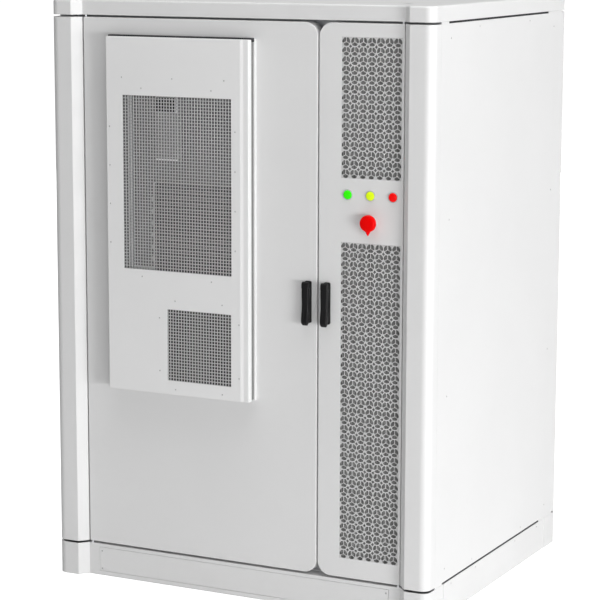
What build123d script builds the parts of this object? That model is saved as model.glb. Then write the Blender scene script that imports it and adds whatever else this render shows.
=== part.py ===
from build123d import *
import math
import os

os.makedirs("parts", exist_ok=True)

# ---------------------------------------------------------------- driving dimensions (mm)
# Frame: X to the right across the front, -Y is the front, +Z up.
# Origin: centre of the rectangle of floor anchor holes, on the floor.
HX = 775.0            # half of the overall width
YF, YB = -655.0, 655.0   # front of the corner pillars, back of the cabinet
H = 2200.0            # overall height
YD = -621.0           # outer face of both doors
Z_PL = 124.5          # top of the plinth
Z_B0, Z_B1 = 132.5, 2136.0   # lower and upper edge of doors and pillars
Z_RF = 2144.0         # underside of the roof cover
R_C = 34.0            # radius of the vertical outer corners
T_P = 3.0             # wall of the pillar profiles
X_D = 655.0           # half width of the door opening
X_IN, X_FL = 685.0, 741.0    # start and end of the flat front facet of a pillar
XG = 320.5            # centre of the gap between the two doors
GAP = 6.0             # width of that gap
X_E = 652.0           # outer edge of each door
D_DOOR = 48.0         # depth of the folded door edges
R_DOOR = 50.0         # corner radius beside the centre gap
HGX, HGY, PIN_R = 644.0, -614.5, 4.0   # hinge pins
RUN = 0.05            # radial running clearance
AX0, AX1, AZ0, AZ1 = -517.0, 73.0, 757.0, 2070.0   # outline of the air conditioner
AXC = 49.0            # crease where the cover folds back on the right
BX0, BX1, BZ0, BZ1 = -504.0, 60.0, 770.0, 2057.0   # body of the air conditioner
HDX = 37.5            # handle centre to door gap centre
HDZ = 1203.0          # height of the handle spindles
ROD_R, MOD, TEETH = 15.0, 1.5, 20   # rack and pinion of the rod locks
LAMP_X = (438.5, 526.0, 613.5)
LAMP_Z = 1533.0
ES_X, ES_Z = 527.0, 1438.0
VX0, VPITCH, VCOLS = 428.5, 33.1, 7
VROWS_UP, VTOP_UP = 15, 2071.0
VROWS_LO, VTOP_LO = 35, 1347.0
VP_X0, VP_X1 = 411.0, 645.0
VP_UP = (1588.0, 2089.0)
VP_LO = (201.0, 1365.0)
ANCH_X, ANCH_Y, ANCH_R = 560.0, 585.0, 9.0
LIFT_X, LIFT_Y, LIFT_R = 600.0, 480.0, 8.75


# ---------------------------------------------------------------- helpers
def bx(x0, x1, y0, y1, z0, z1):
    """Rectangular block between two corners."""
    return Pos((x0 + x1) / 2, (y0 + y1) / 2, (z0 + z1) / 2) * Box(x1 - x0, y1 - y0, z1 - z0)


def cyl(axis, p, q, a0, a1, r):
    """Cylinder along an axis; p, q are the other two coordinates in X, Y, Z order."""
    c = Cylinder(r, a1 - a0)
    m = (a0 + a1) / 2
    if axis == "Z":
        return Pos(p, q, m) * c
    if axis == "Y":
        return Pos(p, m, q) * Rot(90, 0, 0) * c
    return Pos(m, p, q) * Rot(0, 90, 0) * c


def to3(axis, p, q, a):
    if axis == "Z":
        return Vector(p, q, a)
    if axis == "Y":
        return Vector(p, a, q)
    return Vector(a, p, q)


def outline(axis, pts, a):
    """Closed wire through pts; a third number in a point rounds that corner."""
    n = len(pts)
    edges = []
    start = None
    prev_end = None
    for i in range(n):
        p = pts[i]
        r = p[2] if len(p) > 2 else 0
        if r <= 0:
            a_pt = b_pt = (p[0], p[1])
            mid = None
        else:
            l = pts[i - 1]
            m = pts[(i + 1) % n]
            v1 = (l[0] - p[0], l[1] - p[1])
            v2 = (m[0] - p[0], m[1] - p[1])
            n1, n2 = math.hypot(*v1), math.hypot(*v2)
            u1 = (v1[0] / n1, v1[1] / n1)
            u2 = (v2[0] / n2, v2[1] / n2)
            ang = math.acos(max(-1, min(1, u1[0] * u2[0] + u1[1] * u2[1])))
            d = r / math.tan(ang / 2)
            a_pt = (p[0] + u1[0] * d, p[1] + u1[1] * d)
            b_pt = (p[0] + u2[0] * d, p[1] + u2[1] * d)
            bis = (u1[0] + u2[0], u1[1] + u2[1])
            nb = math.hypot(*bis)
            k = r / math.sin(ang / 2) - r
            mid = (p[0] + bis[0] / nb * k, p[1] + bis[1] / nb * k)
        if prev_end is not None:
            edges.append(Edge.make_line(to3(axis, *prev_end, a), to3(axis, *a_pt, a)))
        else:
            start = a_pt
        if mid is not None:
            edges.append(Edge.make_three_point_arc(to3(axis, *a_pt, a), to3(axis, *mid, a), to3(axis, *b_pt, a)))
        prev_end = b_pt
    edges.append(Edge.make_line(to3(axis, *prev_end, a), to3(axis, *start, a)))
    return Wire(edges)


def prism(axis, pts, a0, a1, holes=(), circles=()):
    """Outline with holes, drawn across an axis and extruded from a0 to a1 along it."""
    inner = [outline(axis, h, a0) for h in holes]
    for (p, q, r) in circles:
        c = to3(axis, p, q, a0)
        z = {"Z": (0, 0, 1), "Y": (0, -1, 0), "X": (1, 0, 0)}[axis]
        inner.append(Wire([Edge.make_circle(r, Plane(origin=c, z_dir=z))]))
    face = Face(outline(axis, pts, a0), inner)
    d = {"Z": Vector(0, 0, 1), "Y": Vector(0, 1, 0), "X": Vector(1, 0, 0)}[axis] * (a1 - a0)
    return Solid.extrude(face, d)


def rect(p0, p1, q0, q1, r=None):
    pts = [(p0, q0), (p1, q0), (p1, q1), (p0, q1)]
    return pts if r is None else [(a, b, r) for a, b in pts]


def mir(shape, x):
    """Mirror across the plane X = x."""
    return mirror(shape, about=Plane(origin=(x, 0, 0), z_dir=(1, 0, 0)))


def save(name, *shapes):
    solids = []
    for s in shapes:
        if isinstance(s, (list, tuple)):
            for t in s:
                solids += list(t.solids())
        else:
            solids += list(s.solids())
    c = Compound(solids)
    c.label = name
    export_step(c, "parts/%s.step" % name)


# ---------------------------------------------------------------- plinth
# Corner blocks follow the plan of the pillars above them; channels join them.
def front_corner_plan(side, y_end):
    p = [(X_D, YD), (X_IN, YF), (HX, YF, R_C), (HX, y_end), (X_D, y_end)]
    return [(side * a[0],) + tuple(a[1:]) for a in p]


def rear_corner_plan(side, y_end, x_end):
    p = [(x_end, YB), (HX, YB, R_C), (HX, y_end), (x_end, y_end)]
    return [(side * a[0],) + tuple(a[1:]) for a in p]


def tube_wall(pts, w):
    """Inner outline w inside pts, corner radii reduced to match (convex or simple plans)."""
    n = len(pts)
    area = sum(pts[i][0] * pts[(i + 1) % n][1] - pts[(i + 1) % n][0] * pts[i][1] for i in range(n))
    s = 1 if area > 0 else -1
    lines = []
    for i in range(n):
        a, b = pts[i], pts[(i + 1) % n]
        dx, dy = b[0] - a[0], b[1] - a[1]
        l = math.hypot(dx, dy)
        nx, ny = -dy / l * s, dx / l * s
        lines.append(((a[0] + nx * w, a[1] + ny * w), (dx / l, dy / l)))
    out = []
    for i in range(n):
        (p, d), (q, e) = lines[i - 1], lines[i]
        det = d[0] * e[1] - d[1] * e[0]
        t = ((q[0] - p[0]) * e[1] - (q[1] - p[1]) * e[0]) / det
        r = pts[i][2] - w if len(pts[i]) > 2 and pts[i][2] > w else 0
        v = (p[0] + d[0] * t, p[1] + d[1] * t)
        out.append(v + (r,) if r > 0 else v)
    return out


def tube(pts, w, z0, z1):
    return prism("Z", pts, z0, z1, holes=[tube_wall(pts, w)])


Y_SC = 522.0          # side ends of the corner blocks
plinth = []
for s in (-1, 1):
    plinth.append(tube(front_corner_plan(s, -Y_SC), 6, 0, Z_PL))
    plinth.append(tube(rear_corner_plan(s, Y_SC, X_D), 6, 0, Z_PL))
# front channel: web, flanges, recess for the removable cover
front_beam = prism("X", [(YD, 0), (-561, 0), (-561, 6), (-612, 6), (-612, 118.5), (-561, 118.5),
                         (-561, Z_PL), (YD, Z_PL)], -X_D, X_D)
front_beam = front_beam - bx(-610, 610, YD - 1, YD + 4, 17, 112)
rear_beam = prism("X", [(YB, 0), (555, 0), (555, 6), (649, 6), (649, 118.5), (555, 118.5),
                        (555, Z_PL), (YB, Z_PL)], -X_D, X_D)
for s in (-1, 1):
    front_beam = front_beam - cyl("Z", s * ANCH_X, -ANCH_Y, -1, 7, ANCH_R)
    rear_beam = rear_beam - cyl("Z", s * ANCH_X, ANCH_Y, -1, 7, ANCH_R)
plinth += [front_beam, rear_beam]
for s in (-1, 1):
    side = prism("Y", [(s * 772, 0), (s * 715, 0), (s * 715, 6), (s * 766, 6), (s * 766, 118.5),
                       (s * 715, 118.5), (s * 715, Z_PL), (s * 772, Z_PL)], -Y_SC, Y_SC)
    plinth.append(side)
for y in (-170, 170):
    plinth.append(bx(-715, 715, y - 30, y + 30, 74.5, Z_PL))
save("plinth_frame", plinth)

covers = [prism("Y", rect(-608.5, 608.5, 18.5, 110.5), YD + 0.4, YD + 4,
                circles=[(-599, 96.5, 3.4), (-599, 27, 3.4), (599, 96.5, 3.4), (599, 27, 3.4)])]
for s in (-1, 1):
    x0, x1 = sorted((s * 772, s * (HX - 0.3)))
    covers.append(prism("X", rect(-504, 504, 2, Z_PL), x0, x1,
                        circles=[(y, 109.5, 3.4) for y in (-435, -201, 201, 435)]))
save("plinth_covers", covers)

# ---------------------------------------------------------------- carcass
posts = []
for s in (-1, 1):
    for y0, y1 in ((-586, -526), (540, 600)):
        x0, x1 = sorted((s * 712, s * 772))
        posts.append(tube(rect(x0, x1, y0, y1), 4, Z_PL, Z_RF))
save("corner_posts", posts)


def pillar_plan(side):
    # 45 degree flank beside the door, flat facet, rounded corner, short side face
    p = [(X_D, YD), (X_IN, YF), (HX, YF, R_C), (HX, -586), (658, -586), (658, -617)]
    return [(side * a[0],) + tuple(a[1:]) for a in p]


pillars = []
for s in (-1, 1):
    # closed profile: flank wall, hollow core
    core = [(s * 662, -590), (s * 662, -618.5), (s * 686.5, -651.5), (s * 770, -651.5, 28), (s * 770, -590)]
    pillars.append(prism("Z", pillar_plan(s), Z_B0, Z_B1, holes=[core]))
save("front_pillars", pillars)
save("rear_pillars", [tube(rear_corner_plan(s, 600, X_IN), T_P, Z_B0, Z_B1) for s in (-1, 1)])

SP_SCREWS = [(y, z) for y in (-500, 514) for z in (2085, 1450, 816, 181)] + \
            [(y, z) for y in (-240, 256) for z in (2116, 151)]
panel = [(-586, Z_PL + 0.5), (-522, Z_PL + 0.5), (-522, Z_B0), (456, Z_B0), (456, Z_PL + 0.5), (600, Z_PL + 0.5),
         (600, Z_RF - 0.5), (456, Z_RF - 0.5), (456, Z_B1), (-522, Z_B1), (-522, Z_RF - 0.5), (-586, Z_RF - 0.5)]
side_panels = []
for s in (-1, 1):
    x0, x1 = sorted((s * 772, s * HX))
    side_panels.append(prism("X", panel, x0, x1, circles=[(y, z, 3.4) for y, z in SP_SCREWS]))
save("side_panels", side_panels)
RP_SCREWS = [(x, z) for x in (-660, 0, 660) for z in (2120, 150)] + \
            [(x, z) for x in (-660, 660) for z in (1627, 1134, 641)]
save("rear_panel", prism("Y", rect(-X_IN, X_IN, Z_B0, Z_B1), 652, YB, circles=[(x, z, 3.4) for x, z in RP_SCREWS]))

# flush screws through the sheets
screws = []
for s in (-1, 1):
    for y, z in SP_SCREWS:
        a0, a1 = sorted((s * 772, s * (HX + 0)))
        screws.append(cyl("X", y, z, a0, a1, 3.0))
    for y in (-435, -201, 201, 435):
        a0, a1 = sorted((s * 772, s * (HX - 0.3)))
        screws.append(cyl("X", y, 109.5, a0, a1, 3.0))
for x, z in RP_SCREWS:
    screws.append(cyl("Y", x, z, 652, YB, 3.0))
for x in (-599, 599):
    for z in (96.5, 27):
        screws.append(cyl("Y", x, z, YD + 0.2, YD + 4, 3.0))
save("panel_screws", screws)

# roof: lid with the plan of the whole cabinet, open below
roof_plan = []
left = [(-X_D, YD), (-X_IN, YF), (-HX, YF, R_C), (-HX, YB, R_C)]
roof_plan = left + [(HX, YB, R_C), (HX, YF, R_C), (X_IN, YF), (X_D, YD)]
inner_roof = [(-X_D + 1, YD + 5), (-HX + 5, YD + 5), (-HX + 5, YB - 5), (HX - 5, YB - 5), (HX - 5, YD + 5)]
inner_roof = [(-HX + 5, YD + 5, 10), (-HX + 5, YB - 5, R_C - 5), (HX - 5, YB - 5, R_C - 5), (HX - 5, YD + 5, 10)]
roof = prism("Z", roof_plan, Z_RF, H)
top_edges = [e for e in roof.edges() if abs(e.bounding_box().min.Z - H) < 0.01]
roof = fillet(top_edges, 8.0)
roof = roof - prism("Z", inner_roof, Z_RF - 1, H - 4)
for sx in (-1, 1):
    for sy in (-1, 1):
        roof = roof - cyl("Z", sx * LIFT_X, sy * LIFT_Y, H - 10, H + 1, 18.5)
save("roof_cover", roof)
save("ceiling_panel", prism("Z", rect(-765, 765, -610, 645, 30), Z_RF, Z_RF + 3))
save("lifting_inserts", [cyl("Z", sx * LIFT_X, sy * LIFT_Y, Z_RF + 3, H - 0.5, 18.0)
                         - cyl("Z", sx * LIFT_X, sy * LIFT_Y, H - 40.5, H, LIFT_R)
                         for sx in (-1, 1) for sy in (-1, 1)])

GLX, GLY = 516.0, 300.0          # centre of the gland plate in the floor
save("floor_pan", prism("Z", rect(-712, 712, -561, 555), Z_PL, Z_PL + 3,
                        holes=[rect(GLX - 130, GLX + 130, GLY - 90, GLY + 90)]))
GLANDS = [(GLX + a, GLY + b) for a in (-50, 50) for b in (-42, 42)]
GL_R = 16.0                      # bore of a cable gland
save("gland_plate", prism("Z", rect(GLX - 150, GLX + 150, GLY - 110, GLY + 110), Z_PL + 3, Z_PL + 6,
                          circles=[(x, y, 24.2) for x, y in GLANDS]))
save("cable_glands", [(cyl("Z", x, y, 100.5, 155.5, 24.0) + cyl("Z", x, y, Z_PL + 6, Z_PL + 16, 32.0)
                       + cyl("Z", x, y, 106.5, 122.5, 31.0)) - cyl("Z", x, y, 90, 170, GL_R) for x, y in GLANDS])

rails = []


def beam(x0, x1, y0, y1, z0, z1, along):
    b = bx(x0, x1, y0, y1, z0, z1)
    w = 3
    if along == "X":
        return b - bx(x0 - 1, x1 + 1, y0 + w, y1 - w, z0 + w, z1 - w)
    return b - bx(x0 + w, x1 - w, y0 - 1, y1 + 1, z0 + w, z1 - w)


rails.append(beam(-712, 712, -561, -501, 127.5, 167.5, "X"))
rails.append(beam(-712, 712, -561, -501, 2094, Z_RF, "X"))
rails.append(beam(-X_IN, X_IN, 602, 652, Z_PL, 164.5, "X"))
rails.append(beam(-X_IN, X_IN, 602, 652, 2094, Z_RF, "X"))
for s in (-1, 1):
    x0, x1 = sorted((s * 712, s * 772))
    for z0, z1 in ((Z_PL, 174.5), (1110, 1160), (2094, Z_RF)):
        rails.append(beam(x0, x1, -526, 540, z0, z1, "Y"))
save("frame_rails", rails)
save("door_frame", [bx(-712, -616, -561, -551, 167.5, 2094), bx(616, 712, -561, -551, 167.5, 2094),
                    bx(286, 355, -561, -521, 167.5, 2094)])
save("partition_wall", bx(319, 322, -501, 600, Z_PL + 3, 2094) - bx(300, 340, -521, -500.9, 100, 200))

pins = []
for s in (-1, 1):
    pins.append(cyl("Z", s * HGX, HGY, Z_PL, 158, PIN_R) + cyl("Z", s * HGX, HGY, Z_PL, Z_B0 - 0.5, 5.6))
    pins.append(cyl("Z", s * HGX, HGY, 2112, Z_RF, PIN_R))
save("hinge_pins", pins)

# ---------------------------------------------------------------- batteries (left bay)
ROWS, ROW0, ROW_P, PK_H = 8, 190.0, 235.0, 205.0
COLS = ((-655.0, -225.0), (-165.0, 265.0))
YP0, YP1 = -290.0, 530.0
rack = []
for x0, x1 in ((-700, -660), (-220, -170), (270, 310)):
    for y0, y1 in ((YP0, YP0 + 40), (YP1, YP1 + 40)):
        rack.append(bx(x0, x1, y0, y1, Z_PL + 3, 2085))
save("rack_posts", rack)
shelves, packs, fronts, handles, conns = [], [], [], [], []
for c, (x0, x1) in enumerate(COLS):
    for k in range(ROWS):
        z = ROW0 + ROW_P * k
        shelves.append(bx(x0 - 5, x1 + 5, YP0, YP1 + 40, z - 4, z))
        packs.append(bx(x0, x1, YP0, YP1, z, z + PK_H))
        fronts.append(prism("Y", rect(x0 + 2, x1 - 2, z + 2, z + PK_H - 2, 6), YP0 - 4, YP0))
        for xh in (x0 + 50, x1 - 50):
            handles.append(bx(xh - 5, xh + 5, YP0 - 34, YP0 - 26, z + 50, z + 155)
                           + bx(xh - 5, xh + 5, YP0 - 30, YP0 - 4, z + 50, z + 60)
                           + bx(xh - 5, xh + 5, YP0 - 30, YP0 - 4, z + 145, z + 155))
        for xh in (x0 + 150, x0 + 195, x1 - 110):
            conns.append(cyl("Y", xh, z + 100, YP0 - 28, YP0 - 4, 13) if xh < x1 - 111
                         else bx(xh - 22, xh + 22, YP0 - 14, YP0 - 4, z + 85, z + 115))
save("rack_shelves", shelves)
save("battery_packs", packs)
save("pack_front_plates", fronts)
save("pack_handles", handles)
save("pack_connectors", conns)

# ---------------------------------------------------------------- equipment (right bay)
inv = bx(322, 690, -250, 480, 1370, 2040)
inv = inv - bx(350, 660, -251, -240, 1800, 2010)
save("inverter_module", inv, [bx(350, 660, -248, -244, 1806 + 20 * i, 1816 + 20 * i) for i in range(10)])
save("control_box", bx(322, 690, -250, 480, 860, 1280))
save("isolator_body", (bx(450, 560, -290, -250, 1010, 1130) - cyl("Y", 505, 1070, -291, -265, 8.05)))
save("isolator_knob", cyl("Y", 505, 1070, -312, -266, 8.0) + cyl("Y", 505, 1070, -312, -294, 28)
     + bx(496, 514, -326, -312, 1044, 1096))
save("fire_cylinder", cyl("Z", 620, 0, 139.5, 560, 70) + cyl("Z", 620, 0, 560, 600, 40) + cyl("Z", 620, 0, 600, 660, 18)
     + bx(560, 620, -14, 14, 610, 640), cyl("Z", 620, 0, Z_PL + 3, 139.5, 84))

# ---------------------------------------------------------------- left door
XL0, XL1 = -X_E, XG - GAP / 2
hxl = XG - HDX                    # left handle axis
door_out = [(XL0, Z_B0), (XL1, Z_B0, R_DOOR), (XL1, Z_B1, R_DOOR), (XL0, Z_B1)]
door_in = [(XL0 + 2, Z_B0 + 2), (XL1 - 2, Z_B0 + 2, R_DOOR - 2), (XL1 - 2, Z_B1 - 2, R_DOOR - 2), (XL0 + 2, Z_B1 - 2)]
cut = rect(BX0 - 1, BX1 + 1, BZ0 - 1, BZ1 + 1)
sheet = prism("Y", door_out, YD, YD + 2.5, holes=[cut], circles=[(hxl, HDZ, 9.0)])
edge = prism("Y", door_out, YD + 2.5, YD + D_DOOR, holes=[door_in])


def hinge_blocks(s):
    """Bearing blocks for the hinge pins in the corners of a door."""
    x0, x1 = sorted((s * (X_E - 2), s * (X_E - 20)))
    lo = bx(x0, x1, YD + 2.5, YD + 22, Z_B0 + 2, 162) - cyl("Z", s * HGX, HGY, 100, 170, PIN_R + RUN)
    hi = bx(x0, x1, YD + 2.5, YD + 22, 2108, Z_B1 - 2) - cyl("Z", s * HGX, HGY, 2100, 2150, PIN_R + RUN)
    return lo, hi


def door(sheet, edge, s):
    d = sheet.fuse(edge)
    for b in hinge_blocks(s):
        d = d.fuse(b)
    d = d - cyl("Z", s * HGX, HGY, 100, Z_B0 + 3, PIN_R + RUN) - cyl("Z", s * HGX, HGY, Z_B1 - 3, 2150, PIN_R + RUN)
    return d


save("left_door_skin", door(sheet, edge, -1))


def ring_y(x0, x1, z0, z1, w, y0, y1):
    return prism("Y", rect(x0, x1, z0, z1, 20), y0, y1, holes=[rect(x0 + w, x1 - w, z0 + w, z1 - w, 8)])


YG0, YG1 = YD + D_DOOR, YD + D_DOOR + 11
save("left_door_gasket", [bx(XL0 + 12, XL1 - 12, YG0, YG1, 153, 167), bx(XL0 + 12, XL1 - 12, YG0, YG1, 2098, 2112),
                          bx(XL0 + 12, XL0 + 26, YG0, YG1, 167, 2098), bx(XL1 - 26, XL1 - 12, YG0, YG1, 167, 2098)])
# carrier strips inside the folded edge that hold the gasket and stiffen the door
carrier_l = [bx(XL0 + 2, XL0 + 30, YG0 - 2.5, YG0, 190, 2078), bx(XL1 - 30, XL1 - 2, YG0 - 2.5, YG0, 190, 2078),
             bx(XL0 + 2, XL1 - 60, YG0 - 2.5, YG0, Z_B0 + 2, 160), bx(XL0 + 2, XL1 - 60, YG0 - 2.5, YG0, 2108, Z_B1 - 2)]

# air conditioner: body through the door, flange on its face, two separated chambers
body = bx(BX0, BX1, -649, -345, BZ0, BZ1) + bx(AX0, AX1, -635, YD, AZ0, AZ1)
body = body - bx(BX0 + 2, BX1 - 2, -650, -500, BZ0 + 2, BZ1 - 2) - bx(BX0 + 2, BX1 - 2, -497, -347, BZ0 + 2, BZ1 - 2)
body = body - bx(-420, -24, -350, -340, 1790, 1960) - bx(-420, -24, -350, -340, 850, 1100)
CX0, CX1, CZ0, CZ1 = -345.0, 50.0, 1180.0, 1535.0
FAN_X, FAN_Z = -148.0, 1357.0
baffle = prism("Y", rect(BX0 + 2, BX1 - 2, 1150, BZ1 - 2), -612, -609, holes=[rect(CX0 + 10, CX1 - 10, CZ0 + 10, CZ1 - 10)])
divider = bx(BX0 + 2, BX1 - 2, -640, -500, 1147, 1150)
elbox = bx(-335, -240, -640, -612, 1620, 1855)
motor = cyl("Y", FAN_X, FAN_Z, -535, -500, 42) + cyl("Y", FAN_X, FAN_Z, -574, -535, 6.0)
BL_Y, BL_Z = -425.0, 1700.0
brk = [bx(x - 4, x + 4, -460, -347, 1680, 1720) - cyl("X", BL_Y, BL_Z, x - 5, x + 5, 5.0 + RUN) for x in (-392, -52)]
comp = [cyl("Z", -380, -425, BZ0 + 2, 1090, 62), ]
save("ac_housing", body, baffle, divider, elbox, motor, brk, comp)

fin_coil = bx(CX0, CX1, -638, -612, CZ0, CZ1)
save("ac_condenser_coil", fin_coil)

MW = (-449.0, 4.5, 1216.5, 1859.0)       # upper window of the cover
LW = (-264.8, 2.0, 809.0, 1076.5)        # lower window
AC_SCREWS = [(-450.8, 1922.8), (-238.8, 1922.8), (-24.4, 1922.8), (-368.5, 1885), (-77, 1885),
             (-504, 1741), (-504, 1598), (-504, 1455), (-504, 1311), (20, 1741), (20, 1598), (20, 1455), (20, 1311),
             (-370.5, 1191), (-78.5, 1191), (-231.6, 1109), (-34.5, 1109), (-298, 1041.5), (34.7, 1041.5),
             (-298, 843), (34.7, 843), (-231.6, 777), (-35, 777)]
plan = [(AX0, -649), (AX0, -685), (AXC, -685), (AX1, -671), (AX1, -649)]
cover = prism("Z", plan, AZ0, AZ1)
cover = cover - prism("Z", [(AX0 + 2, -648), (AX0 + 2, -683), (AXC - 0.3, -683), (AX1 - 2, -669.5), (AX1 - 2, -648)], AZ0 + 2, AZ1 - 2)
cover = cover - bx(MW[0], MW[1], -690, -670, MW[2], MW[3]) - bx(LW[0], LW[1], -690, -670, LW[2], LW[3])
for x, z in AC_SCREWS:
    cover = cover - cyl("Y", x, z, -686, -682, 2.9)
save("ac_front_cover", cover)
save("ac_cover_screws", [cyl("Y", x, z, -684.9, -678, 2.6) for x, z in AC_SCREWS])


def mesh_panel(w, nx, nz):
    x0, x1, z0, z1 = w[0] - 12, w[1] + 12, w[2] - 12, w[3] + 12
    holes = []
    px, pz = (w[1] - w[0]) / nx, (w[3] - w[2]) / nz
    for i in range(nx):
        for j in range(nz):
            a, b = w[0] + px * (i + 0.5), w[2] + pz * (j + 0.5)
            holes.append(rect(a - px * 0.42, a + px * 0.42, b - pz * 0.42, b + pz * 0.42))
    return prism("Y", rect(x0, x1, z0, z1), -683, -681.5, holes=holes)


save("ac_mesh_panels", mesh_panel(MW, 13, 18), mesh_panel(LW, 8, 8))

# condenser fan: hub on the motor shaft, five pitched blades
hub = cyl("Y", FAN_X, FAN_Z, -572, -540, 34) - cyl("Y", FAN_X, FAN_Z, -580, -536, 6.0 + RUN)
fan = hub
for k in range(5):
    blade = Rot(0, 72 * k, 0) * Pos(0, 0, 88) * Rot(0, 0, 32) * Box(52, 3, 124)
    fan = fan + Pos(FAN_X, -556, FAN_Z) * blade
save("ac_condenser_fan", fan)
# evaporator blower: drum of straight blades between end discs on a shaft
drum = cyl("X", BL_Y, BL_Z, -396, -48, 5.0)
for x in (-380, -222, -68):
    drum = drum + cyl("X", BL_Y, BL_Z, x - 2, x + 2, 56)
for k in range(16):
    drum = drum + Pos(-224, BL_Y, BL_Z) * Rot(22.5 * k, 0, 0) * Pos(0, 0, 48) * Rot(30, 0, 0) * Box(314, 2.5, 15)
save("ac_blower", drum)


# ---------------------------------------------------------------- swing handles and rod locks
def ring_gear(cx, cz, y0, y1, bore):
    """Spur gear, teeth from involute points, with a tooth space on +X."""
    rp = MOD * TEETH / 2
    rb = rp * math.cos(math.radians(20))
    ra, rf = rp + 0.8 * MOD, rp - 1.25 * MOD
    half = (math.pi * MOD / 2 - 0.3) / 2 / rp
    inv20 = math.tan(math.radians(20)) - math.radians(20)
    pts = []
    for k in range(TEETH):
        c = (k + 0.5) * 2 * math.pi / TEETH

        def flank(r):
            if r <= rb:
                return half + inv20
            a = math.acos(rb / r)
            return half + inv20 - (math.tan(a) - a)
        rs = [rf] + [rb + (ra - rb) * i / 5 for i in range(6)]
        for r in rs:
            pts.append((cx + r * math.cos(c - flank(r)), cz + r * math.sin(c - flank(r))))
        for r in reversed(rs):
            pts.append((cx + r * math.cos(c + flank(r)), cz + r * math.sin(c + flank(r))))
    return prism("Y", pts, y0, y1)


def rack_bar(cx, side, z_hi, z_lo, cz, zr0, zr1, y0, y1):
    """Flat bar with rack teeth between zr0 and zr1, facing the gear; side=+1 lies at +X of it."""
    pitch = math.pi * MOD
    tip = ROD_R - 0.8 * MOD
    root = ROD_R + 1.27 * MOD
    ht = (pitch / 2 - 0.3) / 2
    tn = math.tan(math.radians(20))
    w_tip = ht - 0.8 * MOD * tn
    w_root = ht + 1.27 * MOD * tn
    back = root + 8.0
    pts = [(back, z_lo), (root, z_lo)]
    k0 = math.ceil((zr0 - cz) / pitch)
    k1 = math.floor((zr1 - cz) / pitch)
    for k in range(k0, k1 + 1):
        z = cz + k * pitch
        pts += [(root, z - w_root), (tip, z - w_tip), (tip, z + w_tip), (root, z + w_root)]
    pts += [(root, z_hi), (back, z_hi)]
    return prism("Y", [(cx + side * a, b) for a, b in pts], y0, y1)


Y_L0, Y_L1 = -655.0, -631.0       # front and back of the lever
PY = -641.0                       # axis on which the lever lifts
lever_side = []                   # side view: round head about the lift axis, swelling towards the free end


def lever_solid(cx):
    prof = [(Y_L1, HDZ + 10, 9.0), (-651.0, HDZ + 10, 9.0), (-651.0, 1120), (-656.0, 1062), (-655.0, 1055, 3.0), (Y_L1, 1055, 4.0)]
    s = prism("X", prof, cx - 13, cx + 13)
    s = s - bx(cx - 5, cx + 5, -670, -600, HDZ - 15.5, HDZ + 20)
    s = s - cyl("X", PY, HDZ, cx - 20, cx + 20, 2.5 + RUN)
    return s


def handle_base(cx):
    return prism("Y", rect(cx - 11, cx + 14, 1062, 1221, 6), -629, YD, circles=[(cx, HDZ, 8.0 + RUN)])


def spindle(cx, side):
    s = cyl("Y", cx, HDZ, -629.5, -592, 8.0)
    s = s + bx(cx - 4, cx + 4, -645, -629.5, HDZ - 5.5, HDZ + 5.5)
    s = s + cyl("X", PY, HDZ, cx - 12.5, cx + 12.5, 2.5)
    s = s.fuse(ring_gear(cx, HDZ, -600, -592, 8.0))
    return s


def lock_case(cx):
    blk = bx(cx - 20, cx + 20, YD + 2.5, -602, HDZ - 20, HDZ + 20) - cyl("Y", cx, HDZ, -625, -590, 8.0 + RUN)
    out = [blk]
    for side, zs in ((1, (1330, 1700, 2040)), (-1, (1060, 640, 230))):
        xa, xb = sorted((cx + side * 16.9, cx + side * 24.9))
        for z in zs:
            g = bx(xa - 3, xb + 3, YD + 2.5, -588, z - 12, z + 12) - bx(xa - 0.5, xb + 0.5, -600.5, -591.5, z - 20, z + 20)
            out.append(g)
    return out


for nm, cx in (("left", hxl),):
    rods = (rack_bar(cx, 1, 2098, HDZ - 22, HDZ, HDZ - 20, HDZ + 44, -600, -592),
            rack_bar(cx, -1, HDZ + 22, 168, HDZ, HDZ - 44, HDZ + 20, -600, -592))
save("left_handle_base", handle_base(hxl))
save("left_handle_lever", lever_solid(hxl))
save("left_lock_gear", spindle(hxl, 1))
save("left_rod_upper", rods[0])
save("left_rod_lower", rods[1])
save("left_lock_case", lock_case(hxl) + carrier_l)

hxr = XG + HDX
save("right_handle_base", prism("Y", rect(hxr - 11, hxr + 14, 1062, 1221, 6), -629, YD, circles=[(hxr, HDZ, 8.0 + RUN)]))
save("right_handle_lever", lever_solid(hxr))
save("right_lock_gear", mir(spindle(hxl, 1), XG))
save("right_rod_upper", mir(rods[0], XG))
save("right_rod_lower", mir(rods[1], XG))

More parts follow.
